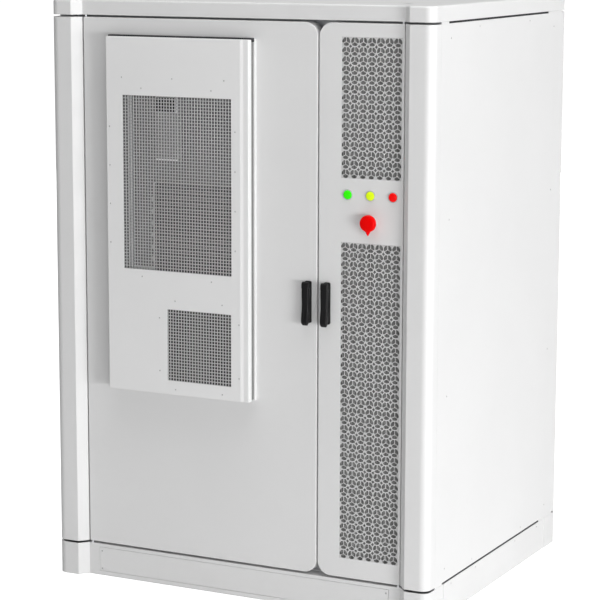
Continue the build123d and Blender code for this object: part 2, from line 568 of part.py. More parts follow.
# ---------------------------------------------------------------- right door
XR0, XR1 = XG + GAP / 2, X_E
rout = [(XR0, Z_B0, R_DOOR), (XR1, Z_B0), (XR1, Z_B1), (XR0, Z_B1, R_DOOR)]
rin = [(XR0 + 2, Z_B0 + 2, R_DOOR - 2), (XR1 - 2, Z_B0 + 2), (XR1 - 2, Z_B1 - 2), (XR0 + 2, Z_B1 - 2, R_DOOR - 2)]
rsheet = prism("Y", rout, YD, YD + 2.5,
               holes=[rect(VP_X0, VP_X1, *VP_UP), rect(VP_X0, VP_X1, *VP_LO)],
               circles=[(hxr, HDZ, 9.0), (ES_X, ES_Z, 13.0)] + [(x, LAMP_Z, 12.0) for x in LAMP_X])
redge = prism("Y", rout, YD + 2.5, YD + D_DOOR, holes=[rin])
save("right_door_skin", door(rsheet, redge, 1))
carrier_r = [bx(XR1 - 30, XR1 - 2, YG0 - 2.5, YG0, 190, 2078), bx(XR0 + 2, XR0 + 30, YG0 - 2.5, YG0, 190, 2078),
             bx(XR0 + 60, XR1 - 2, YG0 - 2.5, YG0, Z_B0 + 2, 160), bx(XR0 + 60, XR1 - 2, YG0 - 2.5, YG0, 2108, Z_B1 - 2)]
save("right_lock_case", [mir(s, XG) for s in lock_case(hxl)] + carrier_r)
save("right_door_gasket", [bx(XR0 + 12, XR1 - 12, YG0, YG1, 153, 167), bx(XR0 + 12, XR1 - 12, YG0, YG1, 2098, 2112),
                           bx(XR0 + 12, XR0 + 26, YG0, YG1, 167, 2098), bx(XR1 - 26, XR1 - 12, YG0, YG1, 167, 2098)])


def vent(z_range, top, rows):
    holes = []
    for i in range(VCOLS):
        for j in range(rows):
            x, z = VX0 + VPITCH * i, top - VPITCH * j
            r = 14.2
            holes.append([(x + r * math.cos(math.radians(a)), z + r * math.sin(math.radians(a)))
                          for a in (30, 90, 150, 210, 270, 330)])
    return prism("Y", rect(VP_X0 + 0.3, VP_X1 - 0.3, z_range[0] + 0.3, z_range[1] - 0.3), YD, YD + 1.5, holes=holes)


save("vent_panels", vent(VP_UP, VTOP_UP, VROWS_UP), vent(VP_LO, VTOP_LO, VROWS_LO))
filt = []
for z0, z1 in (VP_UP, VP_LO):
    filt.append(prism("Y", rect(VP_X0 - 12, VP_X1 + 4.5, z0 - 12, z1 + 12), YD + 2.5, YD + 20,
                      holes=[rect(VP_X0 + 2, VP_X1 - 2, z0 + 2, z1 - 2)]))
    filt.append(bx(VP_X0 + 2, VP_X1 - 2, YD + 8, YD + 18, z0 + 2, z1 - 2))
save("vent_filters", filt)

bez = []
lens = []
for x in LAMP_X:
    bez.append((cyl("Y", x, LAMP_Z, YD - 3.5, YD, 19.0) + cyl("Y", x, LAMP_Z, YD, YD + 30, 11.7))
               - cyl("Y", x, LAMP_Z, YD - 4, YD + 1, 16.3))
    dome = cyl("Y", x, LAMP_Z, YD - 9, YD, 16.0)
    dome = fillet([e for e in dome.edges() if abs(e.center().Y - (YD - 9)) < 0.01], 5.0)
    lens.append(dome)
bez.append((cyl("Y", ES_X, ES_Z, YD - 8, YD, 24.0) + cyl("Y", ES_X, ES_Z, YD, YD + 34, 12.7))
           - cyl("Y", ES_X, ES_Z, YD - 10, YD + 40, 7.0 + RUN))
save("indicator_bezels", bez)
for x, nm, s in zip(LAMP_X, ("green", "yellow", "red"), lens):
    save("lamp_lens_%s" % nm, s)
# emergency stop: stem slides in the collar, mushroom head turns on the stem
save("estop_stem", cyl("Y", ES_X, ES_Z, YD - 24, YD + 40, 7.0) - cyl("Y", ES_X, ES_Z, YD - 25, YD - 14, 3.0)
     + cyl("Y", ES_X, ES_Z, YD + 40, YD + 44, 10.0))
head = cyl("Y", ES_X, ES_Z, YD - 34, YD - 13, 30.0)
head = fillet([e for e in head.edges() if abs(e.center().Y - (YD - 34)) < 0.01], 7.0)
head = head - cyl("Y", ES_X, ES_Z, YD - 25.5, YD - 12, 7.0 + RUN)
tail = prism("Y", [(ES_X - 10, ES_Z - 26), (ES_X + 10, ES_Z - 26), (ES_X, ES_Z - 44, 2.5)], YD - 27, YD - 15)
save("estop_head", head + tail)
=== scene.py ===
import math

import bmesh
import bpy
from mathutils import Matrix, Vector
from mathutils.geometry import tessellate_polygon


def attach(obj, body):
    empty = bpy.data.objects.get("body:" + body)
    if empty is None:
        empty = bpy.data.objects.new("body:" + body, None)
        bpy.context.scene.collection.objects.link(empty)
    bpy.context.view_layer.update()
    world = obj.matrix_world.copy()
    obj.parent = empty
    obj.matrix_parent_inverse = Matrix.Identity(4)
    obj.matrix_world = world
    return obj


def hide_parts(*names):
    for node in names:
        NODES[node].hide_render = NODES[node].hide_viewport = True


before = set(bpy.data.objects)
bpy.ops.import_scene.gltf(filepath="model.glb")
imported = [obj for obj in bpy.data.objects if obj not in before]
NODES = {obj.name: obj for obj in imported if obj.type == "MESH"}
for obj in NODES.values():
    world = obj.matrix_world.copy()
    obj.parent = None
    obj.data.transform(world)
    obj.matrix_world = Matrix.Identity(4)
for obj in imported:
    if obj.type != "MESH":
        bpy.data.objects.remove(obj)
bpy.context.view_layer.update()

scene = bpy.context.scene
MM = 0.001

# ------------------------------------------------------------------ view, light, floor
cam_data = bpy.data.cameras.new("camera")
cam = bpy.data.objects.new("camera", cam_data)
scene.collection.objects.link(cam)
cam.location = (3.816, -7.720, 2.485)
cam.rotation_euler = (math.radians(80.4), 0.0, math.radians(27.5))
cam_data.lens = 134.4
cam_data.sensor_width = 36.0
cam_data.shift_x = 0.0533
cam_data.clip_end = 200.0
scene.camera = cam

scene.view_settings.view_transform = "Standard"
scene.view_settings.look = "None"
scene.view_settings.exposure = 0.0
scene.view_settings.gamma = 1.0


def area_light(name, loc, target, size, size_y, power, color=(1, 1, 1)):
    d = bpy.data.lights.new(name, "AREA")
    d.shape = "RECTANGLE"
    d.size, d.size_y, d.energy, d.color = size, size_y, power, color
    o = bpy.data.objects.new(name, d)
    scene.collection.objects.link(o)
    o.location = loc
    o.rotation_euler = (Vector(target) - Vector(loc)).to_track_quat("-Z", "Y").to_euler()
    return o


SKY = 0.262
world = bpy.data.worlds.new("studio")
scene.world = world
world.use_nodes = True
wn = world.node_tree
wn.nodes.clear()
w_out = wn.nodes.new("ShaderNodeOutputWorld")
w_mix = wn.nodes.new("ShaderNodeMixShader")
w_path = wn.nodes.new("ShaderNodeLightPath")
w_sky = wn.nodes.new("ShaderNodeBackground")
w_sky.inputs["Color"].default_value = (1, 1, 1, 1)
w_sky.inputs["Strength"].default_value = SKY
w_see = wn.nodes.new("ShaderNodeBackground")
w_see.inputs["Color"].default_value = (1, 1, 1, 1)
w_see.inputs["Strength"].default_value = 1.0
wn.links.new(w_path.outputs["Is Camera Ray"], w_mix.inputs[0])
wn.links.new(w_sky.outputs[0], w_mix.inputs[1])
wn.links.new(w_see.outputs[0], w_mix.inputs[2])
wn.links.new(w_mix.outputs[0], w_out.inputs["Surface"])

area_light("key_far", (14.0, -8.0, 0.9), (0.0, -0.3, 1.1), 5.0, 1.8, 730)
area_light("key_near", (5.2, -3.3, 0.6), (0.2, -0.3, 1.2), 2.2, 1.2, 45)
area_light("key_front", (9.0, -12.0, 0.9), (0.0, -0.3, 1.1), 5.0, 1.8, 245)
area_light("side_fill", (14.0, 0.5, 1.5), (0.0, 0.0, 1.1), 5.0, 3.0, 440)
area_light("back_soft", (-5.0, 13.0, 0.9), (0.0, 0.5, 1.1), 7.0, 2.4, 420)
area_light("top_soft", (0.8, -1.2, 7.0), (0.0, 0.0, 2.0), 5.0, 5.0, 225)


def new_object(name, verts, faces, materials, face_mats=None, sharp=None, smooth=True):
    me = bpy.data.meshes.new(name)
    me.from_pydata([tuple(v) for v in verts], [], faces)
    me.validate(verbose=False)
    for m in materials:
        me.materials.append(m)
    if face_mats:
        for p, k in zip(me.polygons, face_mats):
            p.material_index = k
    if smooth:
        for p in me.polygons:
            p.use_smooth = True
        me.set_sharp_from_angle(angle=math.radians(32.0 if sharp is None else sharp))
    me.update()
    o = bpy.data.objects.new(name, me)
    scene.collection.objects.link(o)
    return o


# ------------------------------------------------------------------ node materials
def tree(name):
    m = bpy.data.materials.new(name)
    m.use_nodes = True
    t = m.node_tree
    t.nodes.clear()
    out = t.nodes.new("ShaderNodeOutputMaterial")
    bs = t.nodes.new("ShaderNodeBsdfPrincipled")
    t.links.new(bs.outputs[0], out.inputs["Surface"])
    co = t.nodes.new("ShaderNodeTexCoord")
    return m, t, bs, co.outputs["Object"]


def n_noise(t, vec, scale, detail=2.0, rough=0.5, stretch=None):
    if stretch:
        mp = t.nodes.new("ShaderNodeMapping")
        mp.inputs["Scale"].default_value = stretch
        t.links.new(vec, mp.inputs["Vector"])
        vec = mp.outputs["Vector"]
    n = t.nodes.new("ShaderNodeTexNoise")
    n.inputs["Scale"].default_value = scale
    n.inputs["Detail"].default_value = detail
    n.inputs["Roughness"].default_value = rough
    t.links.new(vec, n.inputs["Vector"])
    return n.outputs["Fac"]


def n_map(t, val, lo, hi, out_lo, out_hi):
    n = t.nodes.new("ShaderNodeMapRange")
    for k, v in zip(("From Min", "From Max", "To Min", "To Max"), (lo, hi, out_lo, out_hi)):
        n.inputs[k].default_value = v
    t.links.new(val, n.inputs["Value"])
    return n.outputs["Result"]


def n_mix(t, fac, a, b, blend="MIX"):
    n = t.nodes.new("ShaderNodeMix")
    n.data_type = "RGBA"
    n.blend_type = blend
    if isinstance(fac, float):
        n.inputs["Factor"].default_value = fac
    else:
        t.links.new(fac, n.inputs["Factor"])
    for s, v in (("A", a), ("B", b)):
        idx = [i for i in n.inputs if i.name == s and i.type == "RGBA"][0]
        if isinstance(v, tuple):
            idx.default_value = v + (1.0,) if len(v) == 3 else v
        else:
            t.links.new(v, idx)
    return [o for o in n.outputs if o.type == "RGBA"][0]


def n_bump(t, h, strength, dist, normal=None):
    b = t.nodes.new("ShaderNodeBump")
    b.inputs["Strength"].default_value = strength
    b.inputs["Distance"].default_value = dist
    t.links.new(h, b.inputs["Height"])
    if normal is not None:
        t.links.new(normal, b.inputs["Normal"])
    return b.outputs["Normal"]


def n_math(t, op, a, b=None):
    n = t.nodes.new("ShaderNodeMath")
    n.operation = op
    for k, v in enumerate((a, b)):
        if v is None:
            continue
        if isinstance(v, (int, float)):
            n.inputs[k].default_value = v
        else:
            t.links.new(v, n.inputs[k])
    return n.outputs[0]


def scale_rgb(c, k):
    return tuple(min(1.0, x * k) for x in c)


def powder_paint(name, rgb, rough=0.42, peel=0.05, var=0.02, coat=0.0, grain=1000.0, spec=0.5, dust=0.03):
    """Powder coat: fine orange peel, slow variation of shade and gloss, a little dust low down."""
    m, t, bs, v = tree(name)
    slow = n_noise(t, v, 2.3, 3.0, 0.55)
    fine = n_noise(t, v, 46.0, 4.0, 0.6)
    c = n_mix(t, n_map(t, slow, 0.3, 0.7, 0.0, 1.0), scale_rgb(rgb, 1 - var), scale_rgb(rgb, 1 + var * 0.5))
    c = n_mix(t, n_map(t, fine, 0.35, 0.75, 0.0, 0.5 * var / 0.02), c, scale_rgb(rgb, 1 - 0.6 * var))
    sep = t.nodes.new("ShaderNodeSeparateXYZ")
    t.links.new(v, sep.inputs[0])
    low = n_map(t, sep.outputs["Z"], 0.0, 0.22, dust, 0.0)
    low = n_math(t, "MULTIPLY", low, n_map(t, n_noise(t, v, 9.0, 5.0, 0.7), 0.35, 0.65, 0.2, 1.0))
    c = n_mix(t, low, c, (0.42, 0.40, 0.37))
    t.links.new(c, bs.inputs["Base Color"])
    t.links.new(n_map(t, n_noise(t, v, 6.0, 4.0, 0.6), 0.3, 0.7, rough - 0.04, rough + 0.05), bs.inputs["Roughness"])
    t.links.new(n_bump(t, n_noise(t, v, grain, 2.0, 0.5), peel, 0.0006), bs.inputs["Normal"])
    bs.inputs["Specular IOR Level"].default_value = spec
    bs.inputs["Coat Weight"].default_value = coat
    return m


def sheet_zinc(name, rgb, rough=0.38, metal=0.9, spangle=42.0):
    """Galvanised sheet: spangle of crystals, light brushing."""
    m, t, bs, v = tree(name)
    vo = t.nodes.new("ShaderNodeTexVoronoi")
    vo.inputs["Scale"].default_value = spangle
    t.links.new(v, vo.inputs["Vector"])
    bw = t.nodes.new("ShaderNodeRGBToBW")
    t.links.new(vo.outputs["Color"], bw.inputs[0])
    c = n_mix(t, n_map(t, bw.outputs[0], 0.1, 0.9, 0.0, 1.0), scale_rgb(rgb, 0.86), scale_rgb(rgb, 1.08))
    c = n_mix(t, n_map(t, n_noise(t, v, 5.0, 4.0), 0.35, 0.7, 0.0, 0.35), c, scale_rgb(rgb, 0.8))
    t.links.new(c, bs.inputs["Base Color"])
    t.links.new(n_map(t, bw.outputs[0], 0.0, 1.0, rough - 0.07, rough + 0.1), bs.inputs["Roughness"])
    bs.inputs["Metallic"].default_value = metal
    t.links.new(n_bump(t, n_noise(t, v, 240.0, 3.0, 0.5, (1, 1, 0.06)), 0.08, 0.0004), bs.inputs["Normal"])
    return m


def steel(name, rgb, rough=0.3, stretch=(1, 1, 0.05), scale=500.0):
    """Turned or drawn steel with fine lines and small stains."""
    m, t, bs, v = tree(name)
    lines = n_noise(t, v, scale, 3.0, 0.6, stretch)
    c = n_mix(t, n_map(t, lines, 0.3, 0.7, 0.0, 1.0), scale_rgb(rgb, 0.82), rgb)
    c = n_mix(t, n_map(t, n_noise(t, v, 22.0, 5.0, 0.65), 0.5, 0.8, 0.0, 0.5), c, scale_rgb(rgb, 0.62))
    t.links.new(c, bs.inputs["Base Color"])
    t.links.new(n_map(t, lines, 0.2, 0.8, rough - 0.06, rough + 0.12), bs.inputs["Roughness"])
    bs.inputs["Metallic"].default_value = 1.0
    t.links.new(n_bump(t, lines, 0.10, 0.0003), bs.inputs["Normal"])
    return m


def moulded(name, rgb, rough=0.45, grain=1500.0, bump=0.12, var=0.06, spec=0.5, wear=0.15, coat=0.0):
    """Moulded plastic: spark-eroded grain, slight mottling and scuffs."""
    m, t, bs, v = tree(name)
    c = n_mix(t, n_map(t, n_noise(t, v, 30.0, 4.0, 0.6), 0.3, 0.7, 0.0, 1.0), scale_rgb(rgb, 1 - var), scale_rgb(rgb, 1 + var))
    scuff = n_map(t, n_noise(t, v, 160.0, 6.0, 0.75, (1, 1, 0.35)), 0.60, 0.80, 0.0, wear)
    c = n_mix(t, scuff, c, tuple(min(1.0, x + 0.10) for x in rgb))
    t.links.new(c, bs.inputs["Base Color"])
    t.links.new(n_map(t, n_noise(t, v, 80.0, 3.0), 0.3, 0.7, rough - 0.06, rough + 0.08), bs.inputs["Roughness"])
    bs.inputs["Specular IOR Level"].default_value = spec
    bs.inputs["Coat Weight"].default_value = coat
    t.links.new(n_bump(t, n_noise(t, v, grain, 2.0, 0.5), bump, 0.0003), bs.inputs["Normal"])
    return m


def rubber(name, rgb=(0.022, 0.022, 0.024)):
    m, t, bs, v = tree(name)
    c = n_mix(t, n_map(t, n_noise(t, v, 60.0, 5.0, 0.7), 0.4, 0.7, 0.0, 1.0), rgb, scale_rgb(rgb, 2.2))
    t.links.new(c, bs.inputs["Base Color"])
    t.links.new(n_map(t, n_noise(t, v, 25.0, 3.0), 0.3, 0.7, 0.72, 0.92), bs.inputs["Roughness"])
    t.links.new(n_bump(t, n_noise(t, v, 900.0, 4.0, 0.7), 0.35, 0.0004), bs.inputs["Normal"])
    return m


def lens(name, rgb, painted_glow):
    """Coloured lens: ribbed inside, clear gloss outside, and a faint even painted glow (painted light) that brightens
    its colour.
    """
    m, t, bs, v = tree(name)
    cells = t.nodes.new("ShaderNodeTexVoronoi")
    cells.inputs["Scale"].default_value = 260.0
    t.links.new(v, cells.inputs["Vector"])
    c = n_mix(t, n_map(t, cells.outputs["Distance"], 0.0, 0.6, 0.0, 1.0), rgb, scale_rgb(rgb, 0.84))
    t.links.new(c, bs.inputs["Base Color"])
    # painted light: the emission is an even glow laid over the lens colour to brighten it
    t.links.new(c, bs.inputs["Emission Color"])
    bs.inputs["Emission Strength"].default_value = painted_glow
    t.links.new(n_map(t, n_noise(t, v, 40.0, 3.0), 0.3, 0.7, 0.12, 0.2), bs.inputs["Roughness"])
    bs.inputs["Specular IOR Level"].default_value = 0.3
    t.links.new(n_bump(t, cells.outputs["Distance"], 0.10, 0.0004), bs.inputs["Normal"])
    return m


def fibre(name, rgb):
    """Filter fleece: matted fibres."""
    m, t, bs, v = tree(name)
    a = n_noise(t, v, 700.0, 6.0, 0.8, (1, 1, 0.12))
    b = n_noise(t, v, 520.0, 6.0, 0.8, (0.15, 1, 1))
    mixv = n_math(t, "MAXIMUM", a, b)
    c = n_mix(t, n_map(t, mixv, 0.45, 0.75, 0.0, 1.0), scale_rgb(rgb, 0.55), scale_rgb(rgb, 1.35))
    t.links.new(c, bs.inputs["Base Color"])
    t.links.new(n_map(t, a, 0.3, 0.7, 0.85, 1.0), bs.inputs["Roughness"])
    bs.inputs["Sheen Weight"].default_value = 0.15
    t.links.new(n_bump(t, mixv, 0.6, 0.001), bs.inputs["Normal"])
    return m


def fins(name, rgb):
    """Aluminium fin stock: wavy, slightly dirty."""
    m, t, bs, v = tree(name)
    wv = n_noise(t, v, 160.0, 3.0, 0.5, (1, 1, 0.25))
    c = n_mix(t, n_map(t, wv, 0.3, 0.7, 0.0, 1.0), scale_rgb(rgb, 0.75), rgb)
    c = n_mix(t, n_map(t, n_noise(t, v, 14.0, 5.0, 0.7), 0.45, 0.75, 0.0, 0.6), c, scale_rgb(rgb, 0.45))
    t.links.new(c, bs.inputs["Base Color"])
    bs.inputs["Metallic"].default_value = 0.6
    t.links.new(n_map(t, wv, 0.3, 0.7, 0.4, 0.6), bs.inputs["Roughness"])
    t.links.new(n_bump(t, wv, 0.3, 0.0006), bs.inputs["Normal"])
    return m


WHITE = (0.80, 0.80, 0.80)
M = {
    "cabinet_paint": powder_paint("cabinet_paint", WHITE),
    "plinth_paint": powder_paint("plinth_paint", scale_rgb(WHITE, 0.995), var=0.025, dust=0.05),
    "ac_paint": powder_paint("ac_paint", scale_rgb(WHITE, 1.08), rough=0.40, peel=0.04),
    "frame_steel": powder_paint("frame_steel", (0.62, 0.63, 0.64), rough=0.5, peel=0.08, var=0.04),
    "equipment_paint": powder_paint("equipment_paint", (0.60, 0.62, 0.64), rough=0.45, peel=0.10, var=0.03),
    "pack_paint": powder_paint("pack_paint", (0.055, 0.058, 0.062), rough=0.5, peel=0.14, var=0.10),
    "pack_front_paint": powder_paint("pack_front_paint", (0.045, 0.047, 0.052), rough=0.42, peel=0.10, var=0.10),
    "vent_paint": powder_paint("vent_paint", scale_rgb(WHITE, 0.74), rough=0.5),
    "zinc_steel": sheet_zinc("zinc_steel", (0.66, 0.67, 0.69)),
    "screw_steel": steel("screw_steel", (0.60, 0.60, 0.60), rough=0.32),
    "wire_mesh": powder_paint("wire_mesh", (0.55, 0.55, 0.55), rough=0.45, peel=0.05, var=0.05),
    "coil_fins": fins("coil_fins", (0.10, 0.10, 0.105)),
    "black_handle": moulded("black_handle", (0.0055, 0.0055, 0.006), rough=0.45, bump=0.10, wear=0.015, spec=0.28),
    "black_plastic": moulded("black_plastic", (0.012, 0.012, 0.013), rough=0.5, wear=0.05),
    "fan_plastic": moulded("fan_plastic", (0.05, 0.05, 0.055), rough=0.5, wear=0.08),
    "gland_plastic": moulded("gland_plastic", (0.03, 0.03, 0.032), rough=0.48, wear=0.06),
    "bezel_grey": moulded("bezel_grey", (0.56, 0.56, 0.56), rough=0.4, bump=0.05, wear=0.05),
    "connector_orange": moulded("connector_orange", (0.85, 0.22, 0.02), rough=0.42, wear=0.08),
    "knob_red": moulded("knob_red", (0.65, 0.012, 0.01), rough=0.4, wear=0.05),
    "estop_red": moulded("estop_red", (0.92, 0.0, 0.0), rough=0.40, bump=0.02, var=0.03, wear=0.0, spec=0.10),
    "cylinder_red": powder_paint("cylinder_red", (0.55, 0.015, 0.012), rough=0.25, peel=0.06, var=0.06, coat=0.3),
    "seal_rubber": rubber("seal_rubber"),
    # grey for the seal's side legs: painted shade, the tone of the shaded gap beside the AC cover
    "seal_grey_painted_shade": moulded("seal_grey_painted_shade", (0.24, 0.24, 0.24), rough=0.7, var=0.03, wear=0.0, spec=0.2),
    "filter_media": fibre("filter_media", (0.50, 0.50, 0.495)),
    "lid_grey": powder_paint("lid_grey", (0.26, 0.26, 0.26), rough=0.5, peel=0.10, var=0.06),
    "foam_mid": fibre("foam_mid", (0.23, 0.23, 0.23)),
    "foam_dark": fibre("foam_dark", (0.06, 0.06, 0.06)),
    # the lens materials carry a painted glow (emission) that brightens their colour
    "lens_green": lens("lens_green", (0.035, 0.95, 0.0), 0.30),
    "lens_yellow": lens("lens_yellow", (0.72, 0.95, 0.01), 0.30),
    "lens_red": lens("lens_red", (0.95, 0.0, 0.0), 0.25),
    "grille_black": powder_paint("grille_black", (0.03, 0.03, 0.032), rough=0.55, peel=0.10, var=0.12),
}

# every carried-over CAD node takes the node material of its slot
for node, o in NODES.items():
    for k, old in enumerate(o.data.materials):
        key = old.name.split(".")[0]
        if key in M:
            o.material_slots[k].link = "OBJECT"
            o.material_slots[k].material = M[key]


# ------------------------------------------------------------------ mesh helpers (mm in, metres out)
class Build:
    """Collects vertices and faces of one piece."""

    def __init__(self):
        self.v, self.f, self.k = [], [], []
        self.mat = 0

    def face(self, *idx):
        self.f.append(tuple(idx))
        self.k.append(self.mat)

    def pts(self, pts):
        n = len(self.v)
        self.v += [(p[0] * MM, p[1] * MM, p[2] * MM) for p in pts]
        return list(range(n, n + len(pts)))

    def bridge(self, a, b, closed=True):
        n = len(a)
        for i in range(n if closed else n - 1):
            j = (i + 1) % n
            self.face(a[i], a[j], b[j], b[i])

    def cap(self, loops, flip=False):
        """Fills rings lying in one plane: the first is the outline, the rest are holes."""
        co = [[Vector(self.v[i]) for i in ring] for ring in loops]
        flat = [i for ring in loops for i in ring]
        for t in tessellate_polygon(co):
            t = [flat[i] for i in t]
            if len(set(t)) == 3:
                self.face(*(reversed(t) if flip else t))

    def from_bm(self, bm):
        bm.verts.ensure_lookup_table()
        n = len(self.v)
        self.v += [tuple(v.co) for v in bm.verts]
        for f in bm.faces:
            self.face(*[n + v.index for v in f.verts])

    def box(self, x0, x1, y0, y1, z0, z1, r=0.6, seg=2):
        bm = bmesh.new()
        vs = [bm.verts.new((x * MM, y * MM, z * MM)) for x in (x0, x1) for y in (y0, y1) for z in (z0, z1)]
        for q in ((0, 1, 3, 2), (4, 6, 7, 5), (0, 4, 5, 1), (2, 3, 7, 6), (0, 2, 6, 4), (1, 5, 7, 3)):
            bm.faces.new([vs[i] for i in q])
        if r > 0:
            bmesh.ops.bevel(bm, geom=bm.edges[:], offset=r * MM, segments=seg, profile=0.5, affect="EDGES", clamp_overlap=True)
        bmesh.ops.recalc_face_normals(bm, faces=bm.faces[:])
        self.from_bm(bm)
        bm.free()

    def lathe(self, prof, c, axis="Y", seg=32, close=True):
        """Profile of (radius, position along the axis) points, turned about the axis through c."""
        rings = []
        for r, a in prof:
            if r < 1e-6:
                p = {"X": (a, c[0], c[1]), "Y": (c[0], a, c[1]), "Z": (c[0], c[1], a)}[axis]
                rings.append(self.pts([p]))
                continue
            ring = []
            for i in range(seg):
                t = 2 * math.pi * i / seg
                u, w = r * math.cos(t), r * math.sin(t)
                ring.append({"X": (a, c[0] + u, c[1] + w), "Y": (c[0] + u, a, c[1] + w), "Z": (c[0] + u, c[1] + w, a)}[axis])
            rings.append(self.pts(ring))
        for a, b in zip(rings, rings[1:]):
            self.join(a, b)
        if close and len(rings[0]) > 1 and len(rings[-1]) > 1 and prof[0] != prof[-1]:
            self.join(rings[-1], rings[0])

    def join(self, a, b):
        if len(a) == 1 and len(b) == 1:
            return
        if len(a) == 1:
            for i in range(len(b)):
                self.face(a[0], b[(i + 1) % len(b)], b[i])
        elif len(b) == 1:
            for i in range(len(a)):
                self.face(a[i], a[(i + 1) % len(a)], b[0])
        else:
            self.bridge(a, b)

    def tube(self, path, r, seg=8, caps=True):
        rings = []
        n = len(path)
        up = Vector((0, 0, 1))
        prev = None
        for i, p in enumerate(path):
            p = Vector(p)
            d = (Vector(path[min(i + 1, n - 1)]) - Vector(path[max(i - 1, 0)])).normalized()
            if prev is None:
                side = d.cross(up)
                if side.length < 1e-3:
                    side = d.cross(Vector((1, 0, 0)))
            else:
                side = prev - d * prev.dot(d)
            side.normalize()
            prev = side
            other = d.cross(side)
            rings.append(self.pts([p + (side * math.cos(2 * math.pi * k / seg) + other * math.sin(2 * math.pi * k / seg)) * r
                                   for k in range(seg)]))
        for a, b in zip(rings, rings[1:]):
            self.bridge(a, b)
        if caps:
            self.face(*reversed(rings[0]))
            self.face(*rings[-1])

    def make(self, name, body, mats, slot=None, replaces=(), sharp=None, flat=False, fix=True, weld=None):
        mats = mats if isinstance(mats, (list, tuple)) else [mats]
        o = new_object(name, self.v, self.f, [M[m] for m in mats], self.k, sharp)
        if fix or weld:
            bm = bmesh.new()
            bm.from_mesh(o.data)
            if weld:
                bmesh.ops.remove_doubles(bm, verts=bm.verts[:], dist=weld * MM)
            if fix:
                bmesh.ops.recalc_face_normals(bm, faces=bm.faces[:])
            bm.to_mesh(o.data)
            bm.free()
            o.data.set_sharp_from_angle(angle=math.radians(32.0 if sharp is None else sharp))
        if flat:
            md = o.modifiers.new("flat_faces", "WEIGHTED_NORMAL")
            md.mode = "FACE_AREA"
            md.weight = 100
            md.keep_sharp = True
        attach(o, body)
        if replaces:
            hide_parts(*replaces)
        return o


def rrect(x0, x1, z0, z1, radii, n=6):
    """Points of a rounded rectangle, anticlockwise from the lower left; radii for ll, lr, ur, ul."""
    out = []
    for (cx, cz, sx, sz, a0), r in zip(((x0, z0, 1, 1, 180), (x1, z0, -1, 1, 270), (x1, z1, -1, -1, 0), (x0, z1, 1, -1, 90)), radii):
        r = max(r, 0.02)
        for i in range(n + 1):
            a = math.radians(a0 + 90 * i / n)
            out.append((cx + sx * r + r * math.cos(a), cz + sz * r + r * math.sin(a)))
    return out


def circle(cx, cz, r, n=20):
    return [(cx + r * math.cos(2 * math.pi * i / n), cz + r * math.sin(2 * math.pi * i / n)) for i in range(n)]


def soften(node, width, seg=2, angle=35, miter="MITER_ARC"):
    """Rounds the edges of a carried-over CAD node with modifiers; its mesh is left as it is."""
    o = NODES[node]
    w = o.modifiers.new("weld", "WELD")
    w.merge_threshold = 0.00002
    b = o.modifiers.new("edge", "BEVEL")
    b.width = width * MM
    b.segments = seg
    b.limit_method = "ANGLE"
    b.angle_limit = math.radians(angle)
    b.use_clamp_overlap = True
    b.harden_normals = True
    b.miter_outer = miter
    n = o.modifiers.new("flat", "WEIGHTED_NORMAL")
    n.weight = 100
    n.keep_sharp = True


# ------------------------------------------------------------------ doors: folded sheet trays
YD = -621.0
ARC = [i / 4 for i in range(5)]


def door_tray(name, body, node, x0, x1, z0, z1, rad, holes):
    """Front sheet with rounded folds, edges folded back, and a return lip behind."""
    b = Build()
    n = 8

    def ring(inset, y):
        pts = rrect(x0 + inset, x1 - inset, z0 + inset, z1 - inset, [max(r - inset, 0.3) for r in rad], n)
        return b.pts([(p, y, q) for p, q in pts])
    R = 3.2
    rings = [ring(17.0, -575.5), ring(17.0, -573.0), ring(1.2, -573.0), ring(0.35, -573.35), ring(0.0, -574.2)]
    for t in ARC:
        a = t * math.pi / 2
        rings.append(ring(R * (1 - math.cos(a)), YD + R * (1 - math.sin(a))))
    inner = [ring(17.0, -575.5), ring(2.5, -575.5), ring(2.5, YD + 2.5)]
    for a, c in zip(rings, rings[1:]):
        b.bridge(a, c)
    fr = [rings[-1]]
    bk = [inner[-1]]
    for h in holes:
        f = b.pts([(p, YD, q) for p, q in h])
        k = b.pts([(p, YD + 2.5, q) for p, q in h])
        b.bridge(f, k)
        fr.append(f)
        bk.append(k)
    b.cap(fr)
    b.cap(bk)
    b.bridge(inner[0], inner[1])
    b.bridge(inner[1], inner[2])
    return b.make(name, body, ["cabinet_paint"], replaces=(node,), weld=0.01, flat=True)


LAMPS = (438.5, 526.0, 613.5)
LZ = 1533.0
ESX, ESZ = 527.0, 1438.0
HXL, HXR, HDZ = 283.0, 358.0, 1203.0
PITCH = 33.1
V_X0 = 428.5 - PITCH / 2
V_X1 = V_X0 + 7 * PITCH
V_UP = (2071.0 + PITCH / 2 - 15 * PITCH, 2071.0 + PITCH / 2)
V_LO = (1347.0 + PITCH / 2 - 35 * PITCH, 1347.0 + PITCH / 2)


def sq(x0, x1, z0, z1):
    return [(x0, z0), (x1, z0), (x1, z1), (x0, z1)]


door_tray("door_left_shell", "left_door", "left_door_skin", -652.0, 317.5, 132.5, 2136.0, (2.5, 50, 50, 2.5),
          [sq(-505, 61, 769, 2058), circle(HXL, HDZ, 9.0)])
door_tray("door_right_shell", "right_door", "right_door_skin", 323.5, 652.0, 132.5, 2136.0, (50, 2.5, 2.5, 50),
          [sq(V_X0, V_X1, *V_UP), sq(V_X0, V_X1, *V_LO), circle(HXR, HDZ, 9.0), circle(ESX, ESZ, 13.0)]
          + [circle(x, LZ, 12.0) for x in LAMPS])


